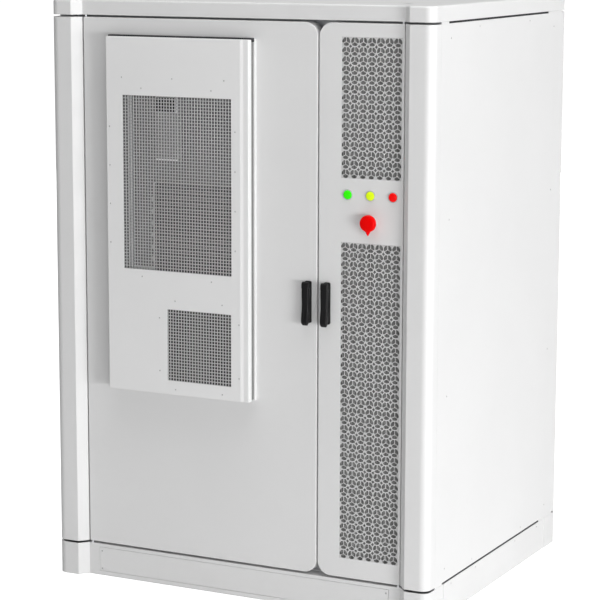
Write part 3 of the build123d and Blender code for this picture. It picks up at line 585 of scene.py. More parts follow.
# ------------------------------------------------------------------ vent grilles: rings of three rounded lobes
def lobe(ang):
    """One of three openings in a ring: bounded by the ring and two straight ribs, all corners well rounded."""
    ring, rib, rt_, ra = 15.35, 1.25, 3.6, 4.6
    s60, c60 = math.sin(math.radians(60)), math.cos(math.radians(60))
    d = rib + rt_
    t = math.sqrt((ring - rt_) ** 2 - d * d)
    tip = (-c60 * d + s60 * t, s60 * d + c60 * t)
    a_tip = math.atan2(tip[0], tip[1])
    apex = (0.0, (rib + ra) / s60)
    pts = []
    for i in range(8):                                          # along the ring
        a = -a_tip + 2 * a_tip * i / 7
        pts.append((ring * math.sin(a), ring * math.cos(a)))
    for i in range(1, 5):                                       # right tip
        a = a_tip + (math.radians(150) - a_tip) * i / 4
        pts.append((tip[0] + rt_ * math.sin(a), tip[1] + rt_ * math.cos(a)))
    for i in range(0, 5):                                       # apex towards the ring's middle
        a = math.radians(150 + 60 * i / 4)
        pts.append((apex[0] + ra * math.sin(a), apex[1] + ra * math.cos(a)))
    for i in range(0, 4):                                       # left tip
        a = math.radians(210) + (2 * math.pi - a_tip - math.radians(210)) * i / 4
        pts.append((-tip[0] + rt_ * math.sin(a), tip[1] + rt_ * math.cos(a)))
    return [(p * math.cos(ang) + q * math.sin(ang), -p * math.sin(ang) + q * math.cos(ang)) for p, q in pts]


LOBES = [lobe(math.radians(a)) for a in (180.0, 60.0, -60.0)]
DIA = 6.4


def grow(loop, d):
    """Moves a small closed loop outwards by d along its own normals."""
    n = len(loop)
    area = sum(loop[i][0] * loop[(i + 1) % n][1] - loop[(i + 1) % n][0] * loop[i][1] for i in range(n))
    s = 1 if area > 0 else -1
    out = []
    for i in range(n):
        a, c = Vector(loop[i - 1]), Vector(loop[(i + 1) % n])
        t = (c - a).normalized()
        out.append((loop[i][0] + s * t.y * d, loop[i][1] - s * t.x * d))
    return out


def vent_grille(name, rows, z_top):
    b = Build()
    y0, y1, ch = YD, YD + 1.5, 0.45
    cells = {}
    for i in range(7):
        for j in range(rows):
            cx, cz = 428.5 + PITCH * i, z_top - PITCH * j
            hw = PITCH / 2
            # corners cut for the diamonds between four cells
            cuts = {(-1, -1): i > 0 and j < rows - 1, (1, -1): i < 6 and j < rows - 1,
                    (1, 1): i < 6 and j > 0, (-1, 1): i > 0 and j > 0}
            for layer, y in ((0, y0), (1, y0 + ch), (2, y1)):
                g = ch if layer == 0 else 0.0
                out = []
                edge = []
                for sx, sz in ((-1, -1), (1, -1), (1, 1), (-1, 1)):
                    if cuts[(sx, sz)]:
                        d = DIA + g
                        a = (cx + sx * hw, cz + sz * (hw - d))
                        c = (cx + sx * (hw - d), cz + sz * hw)
                        q = (cx + sx * (hw - d * 0.44), cz + sz * (hw - d * 0.44))
                        seq = [a, q, c] if sx * sz > 0 else [c, q, a]
                        if (sx, sz) in ((-1, -1), (1, 1)):
                            seq = [a, q, c]
                        edge.append((len(out), 3))
                        out += seq
                    else:
                        out.append((cx + sx * hw, cz + sz * hw))
                ring = b.pts([(p, y, q) for p, q in out])
                lob = [b.pts([(cx + p, y, cz + q) for p, q in (grow(l, ch) if layer == 0 else l)]) for l in LOBES]
                if layer == 0:
                    b.cap([ring] + lob)
                    prev = (ring, lob, edge)
                else:
                    pr, pl, pe = prev
                    for start, cnt in edge:
                        for k in range(cnt - 1):
                            b.face(pr[start + k], pr[start + k + 1], ring[start + k + 1], ring[start + k])
                    for a, c in zip(pl, lob):
                        b.bridge(a, c)
                    if layer == 2:
                        b.cap([ring] + lob, flip=True)
                    prev = (ring, lob, edge)
    return b


bu = vent_grille("u", 15, 2071.0)
bl = vent_grille("l", 35, 1347.0)
off = len(bu.v)
bu.v += bl.v
bu.f += [tuple(i + off for i in f) for f in bl.f]
bu.k += bl.k
bu.make("vent_grilles", "right_door", ["vent_paint"], replaces=("vent_panels",), fix=False, weld=0.02)

# pleated filter mats behind the grilles, in moulded frames
b = Build()
for z0, z1 in ((1590.0, 2087.0), (203.0, 1363.0)):
    x = 413.0
    prof = []
    k = 0
    while x <= 643.0 + 1e-6:
        prof.append((x, -612.6 if k % 2 == 0 else -603.4))
        x += 230.0 / 46
        k += 1
    front = b.pts([(x, y, z0) for x, y in prof]), b.pts([(x, y, z1) for x, y in prof])
    back = b.pts([(x, y + 0.8, z0) for x, y in prof]), b.pts([(x, y + 0.8, z1) for x, y in prof])
    b.bridge(front[0], front[1], closed=False)
    b.bridge(back[1], back[0], closed=False)
    b.bridge(front[0], back[0], closed=False)
    b.bridge(front[1], back[1], closed=False)
    b.face(front[0][0], front[1][0], back[1][0], back[0][0])
    b.face(front[0][-1], front[1][-1], back[1][-1], back[0][-1])
b.make("filter_mats", "right_door", ["filter_media"], replaces=("vent_filters",), sharp=20)
b = Build()
for z0, z1 in ((1576.0, 2101.0), (189.0, 1377.0)):
    for xa, xb in ((399.0, 413.0), (643.0, 649.4)):
        b.box(xa, xb, YD + 2.6, YD + 20, z0, z1, 1.0)
    for za, zb in ((z0, z0 + 14), (z1 - 14, z1)):
        b.box(413.0, 643.0, YD + 2.6, YD + 20, za, zb, 1.0)
b.make("filter_frames", "right_door", ["black_plastic"])

# ------------------------------------------------------------------ air conditioner
AX0, AX1, AZ0, AZ1 = -517.0, 73.0, 757.0, 2070.0
MW = (-449.0, 4.5, 1216.5, 1859.0)
LW = (-264.8, 2.0, 809.0, 1076.5)
AC_SCREWS = [(-450.8, 1922.8), (-238.8, 1922.8), (-24.4, 1922.8), (-368.5, 1885), (-77, 1885),
             (-504, 1741), (-504, 1598), (-504, 1455), (-504, 1311), (20, 1741), (20, 1598), (20, 1455), (20, 1311),
             (-370.5, 1191), (-78.5, 1191), (-231.6, 1109), (-34.5, 1109), (-298, 1041.5), (34.7, 1041.5),
             (-298, 843), (34.7, 843), (-231.6, 777), (-35, 777)]


def ac_cover():
    """One folded sheet: flat face with windows, a shallow set-back strip on the right, folds all round."""
    b = Build()
    yf, yb = -685.0, -659.0
    rl, rr, rt = 2.5, 3.2, 2.5
    # plan profile from the back left round the face to the back right: x, y and inward normal
    prof = [((AX0, yb), (1, 0)), ((AX0, yf + rl), (1, 0))]
    for t in (0.25, 0.5, 0.75):
        a = t * math.pi / 2
        prof.append(((AX0 + rl * (1 - math.cos(a)), yf + rl * (1 - math.sin(a))), (math.cos(a), math.sin(a))))
    prof.append(((AX0 + rl, yf), (0, 1)))
    i_flat0 = len(prof) - 1
    prof.append(((39.5, yf), (0, 1)))
    for (x, y), nrm in (((41.0, -684.7), (-0.2, 0.98)), ((44.0, -683.8), (-0.3, 0.95)), ((50.0, -681.9), (-0.3, 0.95)),
                        ((52.5, -681.2), (-0.2, 0.98)), ((55.0, -681.0), (0.0, 1.0))):
        prof.append(((x, y), nrm))
    prof.append(((AX1 - rr, -681.0), (0.0, 1)))
    for t in (0.2, 0.4, 0.6, 0.8):
        a = t * math.pi / 2
        prof.append(((AX1 - rr + rr * math.sin(a), -681.0 + rr * (1 - math.cos(a))), (-math.sin(a), math.cos(a))))
    prof.append(((AX1, -681.0 + rr), (-1, 0)))
    prof.append(((AX1, yb), (-1, 0)))
    n = len(prof)
    shells = []
    for off in (0.0, 1.8):
        rings = []
        for end in (0, 1):
            seq = []
            for t in ARC:
                a = t * math.pi / 2
                d = rt * (1 - math.cos(a)) + off
                z = AZ1 - off - rt * (1 - math.sin(a)) if end else AZ0 + off + rt * (1 - math.sin(a))
                seq.append(b.pts([(x + nx * d, min(y + ny * d, yb), z) for (x, y), (nx, ny) in prof]))
            rings.append(seq)
        for s in rings:
            for a, c in zip(s, s[1:]):
                b.bridge(a, c, closed=False)
        lo, hi = rings[0][0], rings[1][0]
        for i in range(n - 1):
            if i != i_flat0:
                b.face(lo[i], lo[i + 1], hi[i + 1], hi[i])
        loops = [[lo[i_flat0], lo[i_flat0 + 1], hi[i_flat0 + 1], hi[i_flat0]]]
        for w in (MW, LW):
            loops.append(b.pts([(p, yf + off, q) for p, q in rrect(w[0], w[1], w[2], w[3], [1.5] * 4, 3)]))
        for x, z in AC_SCREWS:
            loops.append(b.pts([(p, yf + off, q) for p, q in circle(x, z, 3.0, 14)]))
        b.cap(loops)
        b.face(*rings[0][-1])
        top = rings[1][-1]
        b.face(*top)
        shells.append((rings, loops))
    (r0, l0), (r1, l1) = shells
    for a, c in zip(l0[1:], l1[1:]):
        b.bridge(a, c)
    # rim along the open back
    for k in (0, n - 1):
        edge0 = [s[k] for s in reversed(r0[0])] + [s[k] for s in r0[1]]
        edge1 = [s[k] for s in reversed(r1[0])] + [s[k] for s in r1[1]]
        b.bridge(edge0, edge1, closed=False)
    for e in (0, 1):
        a, c = r0[e][-1], r1[e][-1]
        b.face(a[0], a[-1], c[-1], c[0])
    return b.make("ac_cover_sheet", "left_door", ["ac_paint"], replaces=("ac_front_cover",), weld=0.01, sharp=28, flat=True)


ac_cover()

# foam lining on the sheet behind the upper window, cut out round the electrical box and the coil
b = Build()
for xa, xb, za, zb in ((-447.0, -347.0, 1219.0, 1857.0), (-239.0, 2.0, 1537.0, 1857.0), (-346.6, -336.4, 1537.0, 1857.0), (-336.0, -239.4, 1537.0, 1618.5)):
    b.box(xa, xb, -616.0, -612.2, za, zb, 1.5)
b.box(-503.0, -451.0, -637.6, -635.3, 790.0, 2040.0, 0.8)
b.make("ac_baffle_lining", "left_door", ["foam_mid"], slot="filter_media")

# dark pleated mat behind the lower window
b = Build()
prof = [(LW[0] - 4.0 + 5.4 * k, -668.0 if k % 2 == 0 else -662.0) for k in range(52)]
for lo_y, fl in ((0.0, False), (1.0, True)):
    p0 = b.pts([(x, y + lo_y, LW[2] - 6.0) for x, y in prof])
    p1 = b.pts([(x, y + lo_y, LW[3] + 6.0) for x, y in prof])
    if fl:
        b.bridge(p1, p0, closed=False)
        b.bridge(q0, p0, closed=False)
        b.bridge(p1, q1, closed=False)
        b.face(q0[0], q1[0], p1[0], p0[0])
        b.face(q0[-1], p0[-1], p1[-1], q1[-1])
    else:
        b.bridge(p0, p1, closed=False)
        q0, q1 = p0, p1
b.make("ac_return_mat", "left_door", ["foam_dark"], slot="filter_media", sharp=20)

# black seal round the neck behind the cover; its top leg stands a little above the cover as a black strip, painted
# shade in place of the shaded gap along the cover's top
b = Build()
# top leg: black strip above the cover, painted shade that draws the dark gap line
b.box(AX0 - 6.0, AX1 + 0.5, -658.4, -636.0, AZ1 - 9.0, AZ1 + 5.6, 1.6)
b.box(AX0 + 12.6, AX1 - 12.6, -658.4, -635.6, AZ0 + 4.0, AZ0 + 13.0, 1.6)
b.make("ac_neck_seal_painted_shade", "left_door", ["seal_rubber"])
# grey side legs of the seal: their grey is painted shade, set to the tone of the shaded gap beside the cover
b = Build()
b.box(AX1 - 13.0, AX1 - 3.5, -658.4, -635.6, AZ0 + 4.0, AZ1 - 9.6, 1.6)
b.box(AX0 + 3.5, AX0 + 12.0, -658.4, -635.6, AZ0 + 4.0, AZ1 - 9.6, 1.6)
b.make("ac_side_seals_painted_shade", "left_door", ["seal_grey_painted_shade"], slot="seal_rubber")


def woven(name, w, nx, nz, wire=1.75):
    """Crimped square mesh: wires pass over and under each other, held in a frame behind the window."""
    b = Build()
    x0, x1, z0, z1 = w
    px, pz = (x1 - x0) / nx, (z1 - z0) / nz
    yc = -681.4
    am = wire * 0.42
    for i in range(nx + 1):
        x = x0 + px * i
        path = []
        for j in range(2 * nz + 1):
            z = z0 + pz * j / 2
            amp = 0.0 if j % 2 else (am if (i + j // 2) % 2 else -am)
            path.append((x, yc + amp, z))
        path[0] = (x, yc, z0 - 8)
        path[-1] = (x, yc, z1 + 8)
        b.tube(path, wire, 6)
    for j in range(nz + 1):
        z = z0 + pz * j
        path = []
        for i in range(2 * nx + 1):
            x = x0 + px * i / 2
            amp = 0.0 if i % 2 else (-am if (j + i // 2) % 2 else am)
            path.append((x, yc + amp, z))
        path[0] = (x0 - 8, yc, z)
        path[-1] = (x1 + 8, yc, z)
        b.tube(path, wire, 6)
    return b


bm_up = woven("mesh", MW, 39, 55)
bm_lo = woven("mesh", LW, 23, 23)
off = len(bm_up.v)
bm_up.v += bm_lo.v
bm_up.f += [tuple(i + off for i in f) for f in bm_lo.f]
bm_up.k += bm_lo.k
bm_up.make("ac_wire_mesh", "left_door", ["wire_mesh"], replaces=("ac_mesh_panels",), sharp=50, fix=False)

# clamping frames that hold the meshes to the back of the cover
b = Build()
for x0, x1, z0, z1 in (MW, LW):
    for xa, xb in ((x0 - 12, x0 - 2.0), (x1 + 2.0, x1 + 12)):
        b.box(xa, xb, -679.2, -677.0, z0 - 12, z1 + 12, 0.6)
    for za, zb in ((z0 - 12, z0 - 2.0), (z1 + 2.0, z1 + 12)):
        b.box(x0 - 2.0, x1 + 2.0, -679.2, -677.0, za, zb, 0.6)
b.make("ac_mesh_frames", "left_door", ["zinc_steel"])

# screws of the cover: low heads with a six-point recess
def screw_heads(b, places, axis, y_face, r, proud, flip=1):
    for p, q in places:
        n = 18
        rings = []
        for rr, d in ((r, -0.6), (r, 0.25 * proud), (r * 0.86, 0.8 * proud), (r * 0.6, proud)):
            rings.append([(p + rr * math.cos(2 * math.pi * i / n), q + rr * math.sin(2 * math.pi * i / n), d) for i in range(n)])
        for d in (proud, proud - 0.45 * r):
            rings.append([(p + (0.42 + (0.10 if (i // 3) % 2 else 0.0)) * r * math.cos(2 * math.pi * i / n),
                           q + (0.42 + (0.10 if (i // 3) % 2 else 0.0)) * r * math.sin(2 * math.pi * i / n), d) for i in range(n)])
        idx = []
        for ring in rings:
            if axis == "Y":
                idx.append(b.pts([(u, y_face - flip * d, w) for u, w, d in ring]))
            else:
                idx.append(b.pts([(y_face + flip * d, u, w) for u, w, d in ring]))
        for a, c in zip(idx, idx[1:]):
            b.bridge(a, c)
        b.face(*idx[-1])
        b.face(*idx[0])


b = Build()
screw_heads(b, AC_SCREWS, "Y", -684.2, 2.9, 0.6)
b.make("ac_cover_fixings", "left_door", ["screw_steel"], replaces=("ac_cover_screws",))

# condenser coil: fins, tubes with return bends, end plates
b = Build()
CX0, CX1, CZ0, CZ1 = -345.0, 50.0, 1180.0, 1535.0
x = CX0 + 4
while x < CX1 - 3:
    b.box(x - 0.25, x + 0.25, -637.4, -612.6, CZ0 + 1, CZ1 - 1, 0)
    x += 3.2
b.mat = 1
for xa, xb in ((CX0, CX0 + 1.6), (CX1 - 1.6, CX1)):
    b.box(xa, xb, -638, -612.2, CZ0, CZ1, 0.3)
b.mat = 2
zz = CZ0 + 18
row = 0
while zz < CZ1 - 20:
    for yy in (-631.0, -619.0):
        b.tube([(CX0 + 1, yy, zz), (CX1 - 1, yy, zz)], 3.4, 8)
    if row % 2 == 0 and zz + 22 < CZ1 - 14:
        bend = []
        for i in range(9):
            a = math.pi * i / 8
            bend.append((CX0 - 1 - 9 * math.sin(a), -631.0, zz + 11 - 11 * math.cos(a)))
        b.tube(bend, 3.4, 8)
    zz += 22
    row += 1
b.make("ac_coil", "left_door", ["coil_fins", "zinc_steel", "screw_steel"], replaces=("ac_condenser_coil",), fix=False, sharp=40)

# control gear seen through the upper mesh: a dark relay block above a small case
b = Build()
b.box(-327, -247, -656, -640.3, 1800, 1851, 2.0)
for i in range(5):
    b.box(-322 + 15.4 * i, -312 + 15.4 * i, -660, -655.5, 1806, 1845, 1.2)
b.make("ac_relay_block", "left_door", ["black_plastic"])
b = Build()
b.box(-333, -242, -643.5, -640.2, 1626, 1795, 1.5)
for i in range(6):
    b.box(-322, -252, -645.0, -643.0, 1640 + 9 * i, 1643 + 9 * i, 0.5)
b.box(-239.8, -238.6, -640.2, -616.4, 1620.0, 1855.0, 0.4)
b.box(-335.0, -239.9, -640.2, -616.4, 1618.7, 1619.8, 0.4)
b.make("ac_gear_lid", "left_door", ["lid_grey"], slot="frame_steel")


# ------------------------------------------------------------------ swing handles
def lever(name, body, node, cx):
    b = Build()
    rows = []
    zs = [1190.0, 1189.0]
    while zs[-1] > 1060.0:
        zs.append(zs[-1] - 3.0)
    zs += [1057.5, 1056.0, 1055.2]
    for z in zs:
        # front line of the lever, seen from the side
        if z > 1118:
            yf = -651.0
        elif z > 1068:
            yf = -651.0 - 5.0 * (0.5 - 0.5 * math.cos(math.pi * (1118 - z) / 50.0))
        else:
            t = (1068 - z) / 13.0
            yf = -656.0 + 9.0 * (1 - math.sqrt(max(0.0, 1 - t * t)))
        yb = -631.0
        if z < 1085:
            yb = -631.0 - 12.0 * ((1085 - z) / 30.0) ** 1.6
        hw = 13.0
        if z < 1072:
            t = (1072 - z) / 17.0
            hw -= 4.2 * t * t
        if 1100 < z < 1160:
            hw -= 0.8 * math.sin(math.pi * (z - 1100) / 60.0)
        r = 3.0
        ring = []
        m = 14
        for i in range(m + 1):                       # front, left to right
            u = -hw + r + (2 * hw - 2 * r) * i / m
            dish = 0.0
            e = ((u - 0.5) / 5.2) ** 2 + ((z - 1098) / 25.0) ** 2
            if e < 1:
                dish = 1.7 * (1 - e) ** 0.7
            crown = 0.8 * (u / hw) ** 2
            ring.append((cx + u, yf + dish + crown, z))
        for a in (22, 45, 68, 90):
            ring.append((cx + hw - r + r * math.sin(math.radians(a)), yf + 0.6 + r - r * math.cos(math.radians(a)), z))
        rb = 1.5
        ring.append((cx + hw, yb - rb, z))
        ring.append((cx + hw - rb * 0.4, yb - rb * 0.3, z))
        ring.append((cx + hw - rb, yb, z))
        ring.append((cx - hw + rb, yb, z))
        ring.append((cx - hw + rb * 0.4, yb - rb * 0.3, z))
        ring.append((cx - hw, yb - rb, z))
        for a in (90, 68, 45, 22):
            ring.append((cx - hw + r - r * math.sin(math.radians(a)), yf + 0.6 + r - r * math.cos(math.radians(a)), z))
        rows.append(b.pts(ring))
    for a, c in zip(rows, rows[1:]):
        b.bridge(a, c)
    b.face(*rows[0])
    b.face(*rows[-1])
    # round head about the lift axis: two cheeks and a front web, open behind for the spindle's tang
    py, pz = -641.0, HDZ
    arc = [(py + 10.0 * math.cos(math.radians(a)), pz + 10.0 * math.sin(math.radians(a))) for a in range(180, -1, -12)]
    cheek = [(py - 10.0, 1189.6)] + arc + [(py + 10.0, 1189.6)]
    small = grow(cheek, 1.0)
    if abs(small[1][0] - py) > 10.0:
        small = grow(cheek, -1.0)
    for xa, xb in ((cx - 13.0, cx - 5.4), (cx + 13.0, cx + 5.4)):
        s = 1 if xb > xa else -1
        r0 = b.pts([(xa, y, z) for y, z in small])
        r1 = b.pts([(xa + s * 1.0, y, z) for y, z in cheek])
        r2 = b.pts([(xb, y, z) for y, z in cheek])
        b.face(*r0)
        b.bridge(r0, r1)
        b.bridge(r1, r2)
        b.face(*r2)
    outer = [(py - 10.0, 1189.6)] + [(py + 10.0 * math.cos(math.radians(a)), pz + 10.0 * math.sin(math.radians(a))) for a in range(180, 95, -12)]
    inner = [(py - 7.4, 1189.6)] + [(py + 7.4 * math.cos(math.radians(a)), pz + 7.4 * math.sin(math.radians(a))) for a in range(180, 95, -12)]
    web = outer + inner[::-1]
    r0 = b.pts([(cx - 5.5, y, z) for y, z in web])
    r1 = b.pts([(cx + 5.5, y, z) for y, z in web])
    b.face(*r0)
    b.face(*r1)
    b.bridge(r0, r1)
    return b.make(name, body, ["black_handle"], replaces=(node,), sharp=38)


lever("handle_lever_left", "left_lever", "left_handle_lever", HXL)
lever("handle_lever_right", "right_lever", "right_handle_lever", HXR)


def handle_plate(name, body, node, cx):
    """Mounting plate: rounded outline and edge, and a hole for the spindle."""
    b = Build()
    x0, x1, z0, z1 = cx - 11, cx + 14, 1062.0, 1214.0
    prof = [(0.0, YD), (0.0, -627.2), (0.5, -628.3), (1.6, -628.9), (3.0, -629.0)]
    rings = []
    for ins, y in prof:
        rings.append(b.pts([(p, y, q) for p, q in rrect(x0 + ins, x1 - ins, z0 + ins, z1 - ins, [max(6.0 - ins, 1)] * 4, 6)]))
    for a, c in zip(rings, rings[1:]):
        b.bridge(a, c)
    hole = b.pts([(p, -629.0, q) for p, q in circle(cx, HDZ, 8.2, 24)])
    hole2 = b.pts([(p, YD, q) for p, q in circle(cx, HDZ, 8.2, 24)])
    b.cap([rings[-1], hole])
    b.bridge(hole, hole2)
    b.cap([rings[0], hole2])
    return b.make(name, body, ["black_handle"], replaces=(node,), flat=True)


handle_plate("handle_plate_left", "left_door", "left_handle_base", HXL)
handle_plate("handle_plate_right", "right_door", "right_handle_base", HXR)

# ------------------------------------------------------------------ lamps and emergency stop
b = Build()
for x in LAMPS:
    b.lathe([(16.3, YD + 1), (16.3, -623.9), (16.7, -624.4), (17.4, -624.6), (18.4, -624.2), (18.9, -623.2), (19.0, YD),
             (11.7, YD), (11.7, YD + 30), (9.5, YD + 30), (9.5, YD + 1)], (x, LZ), "Y", 40)
    b.lathe([(11.8, YD + 4), (15.5, YD + 4), (16.5, YD + 5), (16.5, YD + 9), (15.5, YD + 10), (11.8, YD + 10)], (x, LZ), "Y", 24)
b.lathe([(7.1, YD - 7.6), (8.2, YD - 8.0), (21.5, YD - 8.0), (23.2, YD - 7.4), (24.0, YD - 6.0), (24.0, YD), (12.7, YD), (12.7, YD + 34), (7.1, YD + 34)],
        (ESX, ESZ), "Y", 48)
b.make("lamp_bezels", "right_door", ["bezel_grey"], replaces=("indicator_bezels",), fix=True)
for x, nm in zip(LAMPS, ("green", "yellow", "red")):
    b = Build()
    prof = [(0.0, YD - 9.0), (5.0, YD - 8.95), (9.0, YD - 8.7), (11.8, YD - 8.15), (13.8, YD - 7.1), (15.1, YD - 5.6), (15.8, YD - 3.8), (16.0, YD - 2.0),
            (16.0, YD - 0.2), (15.0, YD)]
    b.lathe(prof + [(0.0, YD)], (x, LZ), "Y", 40)
    b.make("lamp_%s" % nm, "right_door", ["lens_%s" % nm], replaces=("lamp_lens_%s" % nm,))

b = Build()
b.lathe([(0.0, YD - 24), (6.0, YD - 24), (7.0, YD - 23), (7.0, YD + 40), (9.6, YD + 40), (10.0, YD + 40.5), (10.0, YD + 43.5), (9.5, YD + 44), (0.0, YD + 44)],
        (ESX, ESZ), "Y", 32)
b.make("stop_plunger", "stop_stem", ["black_plastic"], replaces=("estop_stem",))

b = Build()
cz = ESZ
seg = 64


def stop_outline(r, tail, a):
    """Round head with a pointed tail towards the floor."""
    x, z = r * math.cos(a), r * math.sin(a)
    d = abs((a - 1.5 * math.pi + math.pi) % (2 * math.pi) - math.pi)
    if tail > 0 and d < 0.26:
        t = 1 - d / 0.26
        k = r + tail * t ** 1.15
        x, z = k * math.cos(a), k * math.sin(a)
        x *= 1 - 0.10 * t
    return x, z


prof = [(7.1, 0, YD - 13), (26.5, 0, YD - 13), (29.0, 13, YD - 14.5), (30.0, 14.0, YD - 17), (30.0, 14.0, YD - 23.5),
        (29.6, 13.0, YD - 26.5), (28.6, 8, YD - 29.4), (27.0, 0, YD - 31.6), (24.8, 0, YD - 33.0), (22.0, 0, YD - 33.8), (18.0, 0, YD - 34.0), (0.0, 0, YD - 34.0)]
rings = []
for r, tail, y in prof:
    if r == 0.0:
        rings.append(b.pts([(ESX, y, cz)]))
        continue
    ring = []
    for i in range(seg):
        a = 2 * math.pi * i / seg
        x, z = stop_outline(r, tail, a)
        ring.append((ESX + x, y, cz + z))
    rings.append(b.pts(ring))
for a, c in zip(rings, rings[1:]):
    b.join(a, c)
hole = b.pts([(ESX + 7.1 * math.cos(2 * math.pi * i / seg), YD - 25.5, cz + 7.1 * math.sin(2 * math.pi * i / seg)) for i in range(seg)])
b.join(rings[0], hole)
b.face(*hole)
b.make("stop_button", "stop_head", ["estop_red"], replaces=("estop_head",), sharp=40)

# ------------------------------------------------------------------ panel screws
b = Build()
SP = [(y, z) for y in (-500, 514) for z in (2085, 1450, 816, 181)] + [(y, z) for y in (-240, 256) for z in (2116, 151)]
for s in (-1, 1):
    screw_heads(b, SP, "X", s * 774.2, 3.2, 0.7, s)
    screw_heads(b, [(y, 109.5) for y in (-435, -201, 201, 435)], "X", s * 773.9, 3.2, 0.7, s)
RP = [(x, z) for x in (-660, 0, 660) for z in (2120, 150)] + [(x, z) for x in (-660, 660) for z in (1627, 1134, 641)]
screw_heads(b, RP, "Y", 654.2, 3.2, 0.7, -1)
screw_heads(b, [(x, z) for x in (-599, 599) for z in (96.5, 27)], "Y", YD + 0.7, 3.2, 0.6, 1)
b.make("panel_fixings", "root", ["screw_steel"], replaces=("panel_screws",))

# ------------------------------------------------------------------ softened edges on carried-over sheet metal
for node, w in (("plinth_frame", 0.3), ("front_pillars", 1.2), ("rear_pillars", 1.0), 
                ("frame_rails", 1.5), ("corner_posts", 1.5), ("door_frame", 1.5), ("control_box", 3.0),
                ("inverter_module", 2.0), ("battery_packs", 2.5), ("rack_posts", 1.5), ("rack_shelves", 1.0), ("pack_handles", 2.0),
                ("left_door_gasket", 1.2), ("right_door_gasket", 1.2), ("isolator_body", 2.0), ("ac_housing", 0.8)):
    soften(node, w, miter="MITER_SHARP" if node == "plinth_frame" else "MITER_ARC")

# ------------------------------------------------------------------ battery fronts: vent slots, edge screws, blank plate, lamp
PACKS = [(x0, x1, 190.0 + 235.0 * k) for x0, x1 in ((-655.0, -225.0), (-165.0, 265.0)) for k in range(8)]
bz, bs_, bl_ = Build(), Build(), Build()
for x0, x1, z in PACKS:
    for j in range(7):                                        # raised louvre lips above the connectors
        xa = x0 + 96 + 34 * j
        bz.box(xa, xa + 24, -296.6, -293.6, z + 168, z + 172, 0.9)
        bz.box(xa, xa + 24, -296.6, -293.6, z + 180, z + 184, 0.9)
        bz.box(xa, xa + 24, -296.6, -293.6, z + 26, z + 30, 0.9)
    for xa in (x0 + 8, x1 - 14):                              # folded stiffening beads at both ends
        bz.box(xa, xa + 6, -297.2, -293.6, z + 22, z + 183, 1.4)
    bz.box(x0 + 218, x0 + 300, -295.4, -293.6, z + 70, z + 130, 0.8)
    screw_heads(bs_, [(x0 + 24, z + 15), (x1 - 24, z + 15), (x0 + 24, z + 190), (x1 - 24, z + 190), (x0 + 215, z + 15), (x0 + 215, z + 190)],
                "Y", -293.8, 3.6, 1.1)
    bl_.box(x0 + 96, x0 + 104, -295.6, -293.6, z + 128, z + 136, 1.2)
bz.make("pack_front_ribs", "root", ["pack_paint"])
bs_.make("pack_front_screws", "root", ["screw_steel"])
# the status lamps take the green lens material with its painted glow
bl_.make("pack_status_lamps", "root", ["lens_green"])

# inverter front: bevelled cover with louvres, a blank display window and corner screws
b = Build()
b.box(334, 678, -254.6, -249.8, 1384, 1786, 1.6)
for j in range(9):
    b.box(362 + 0.0, 520, -257.4, -254.2, 1410 + 15 * j, 1416 + 15 * j, 1.3)
b.make("inverter_cover", "root", ["equipment_paint"], sharp=35)
b = Build()
b.box(392, 470, -256.6, -254.3, 1650, 1706, 1.2)
for j in range(3):
    b.box(494 + 26 * j, 508 + 26 * j, -257.0, -254.3, 1671, 1685, 1.6)
b.box(560, 650, -300.0, -254.3, 1404, 1440, 3.0)
for j in range(3):
    b.tube([(578 + 27 * j, -277, 1404.0), (578 + 27 * j, -277, 1386.0)], 9.5, 14)
b.make("inverter_controls", "root", ["black_plastic"])
b = Build()
screw_heads(b, [(344, 1394), (668, 1394), (344, 1776), (668, 1776), (344, 1585), (668, 1585)], "Y", -254.2, 3.6, 1.2)
screw_heads(b, [(340, 1820), (340, 2000), (672, 1820), (672, 2000)], "Y", -249.6, 3.6, 1.2)
b.make("inverter_screws", "root", ["screw_steel"])

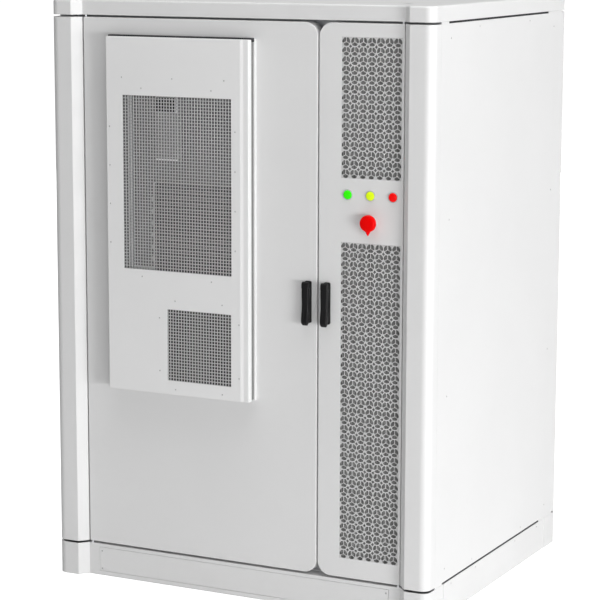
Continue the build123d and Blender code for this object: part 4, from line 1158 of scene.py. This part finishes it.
# control box door: raised panel, two quarter-turn locks, hinge barrels
b = Build()
b.box(334, 438, -253.6, -249.8, 872, 1268, 1.6)
b.box(572, 678, -253.6, -249.8, 872, 1268, 1.6)
b.box(438.4, 571.6, -253.6, -249.8, 1142, 1268, 1.6)
b.box(438.4, 571.6, -253.6, -249.8, 872, 998, 1.6)
b.make("control_box_panels", "root", ["equipment_paint"])
b = Build()
for z in (910, 1230):
    screw_heads(b, [(656, z)], "Y", -253.2, 8.5, 4.0)
screw_heads(b, [(348, 886), (348, 1254), (664, 1070), (348, 1070)], "Y", -253.2, 3.4, 1.1)
for z in (905, 1205):
    b.tube([(330.0, -254.0, z), (330.0, -254.0, z + 30.0)], 4.0, 14)
b.make("control_box_fixings", "root", ["screw_steel"])

# black sealing strips in the long seams above and below the side panels
b = Build()
for sgn in (-1, 1):
    xa, xb = sorted((sgn * 772.1, sgn * 773.1))
    for za, zb in ((124.7, 131.8), (2136.7, 2143.4)):
        b.box(xa, xb, -521.0, 455.0, za, zb, 0.3)
b.make("side_seam_seals", "root", ["seal_rubber"])

# ------------------------------------------------------------------ floor
fm, ft, fb, fv = tree("studio_floor")
ft.nodes.remove(fb)
f_out = [n for n in ft.nodes if n.type == "OUTPUT_MATERIAL"][0]
f_dif = ft.nodes.new("ShaderNodeBsdfDiffuse")
f_dif.inputs["Color"].default_value = (0.86, 0.86, 0.86, 1)
f_em = ft.nodes.new("ShaderNodeEmission")
f_em.inputs["Strength"].default_value = 0.86
f_add = ft.nodes.new("ShaderNodeAddShader")
f_mix = ft.nodes.new("ShaderNodeMixShader")
f_path = ft.nodes.new("ShaderNodeLightPath")
ft.links.new(f_dif.outputs[0], f_add.inputs[0])
ft.links.new(f_em.outputs[0], f_add.inputs[1])
ft.links.new(f_path.outputs["Is Camera Ray"], f_mix.inputs[0])
ft.links.new(f_dif.outputs[0], f_mix.inputs[1])
ft.links.new(f_add.outputs[0], f_mix.inputs[2])
ft.links.new(f_mix.outputs[0], f_out.inputs["Surface"])
fl = new_object("studio_floor", [(-60, -60, -0.0005), (60, -60, -0.0005), (60, 60, -0.0005), (-60, 60, -0.0005)], [(0, 1, 2, 3)], [fm], smooth=False)
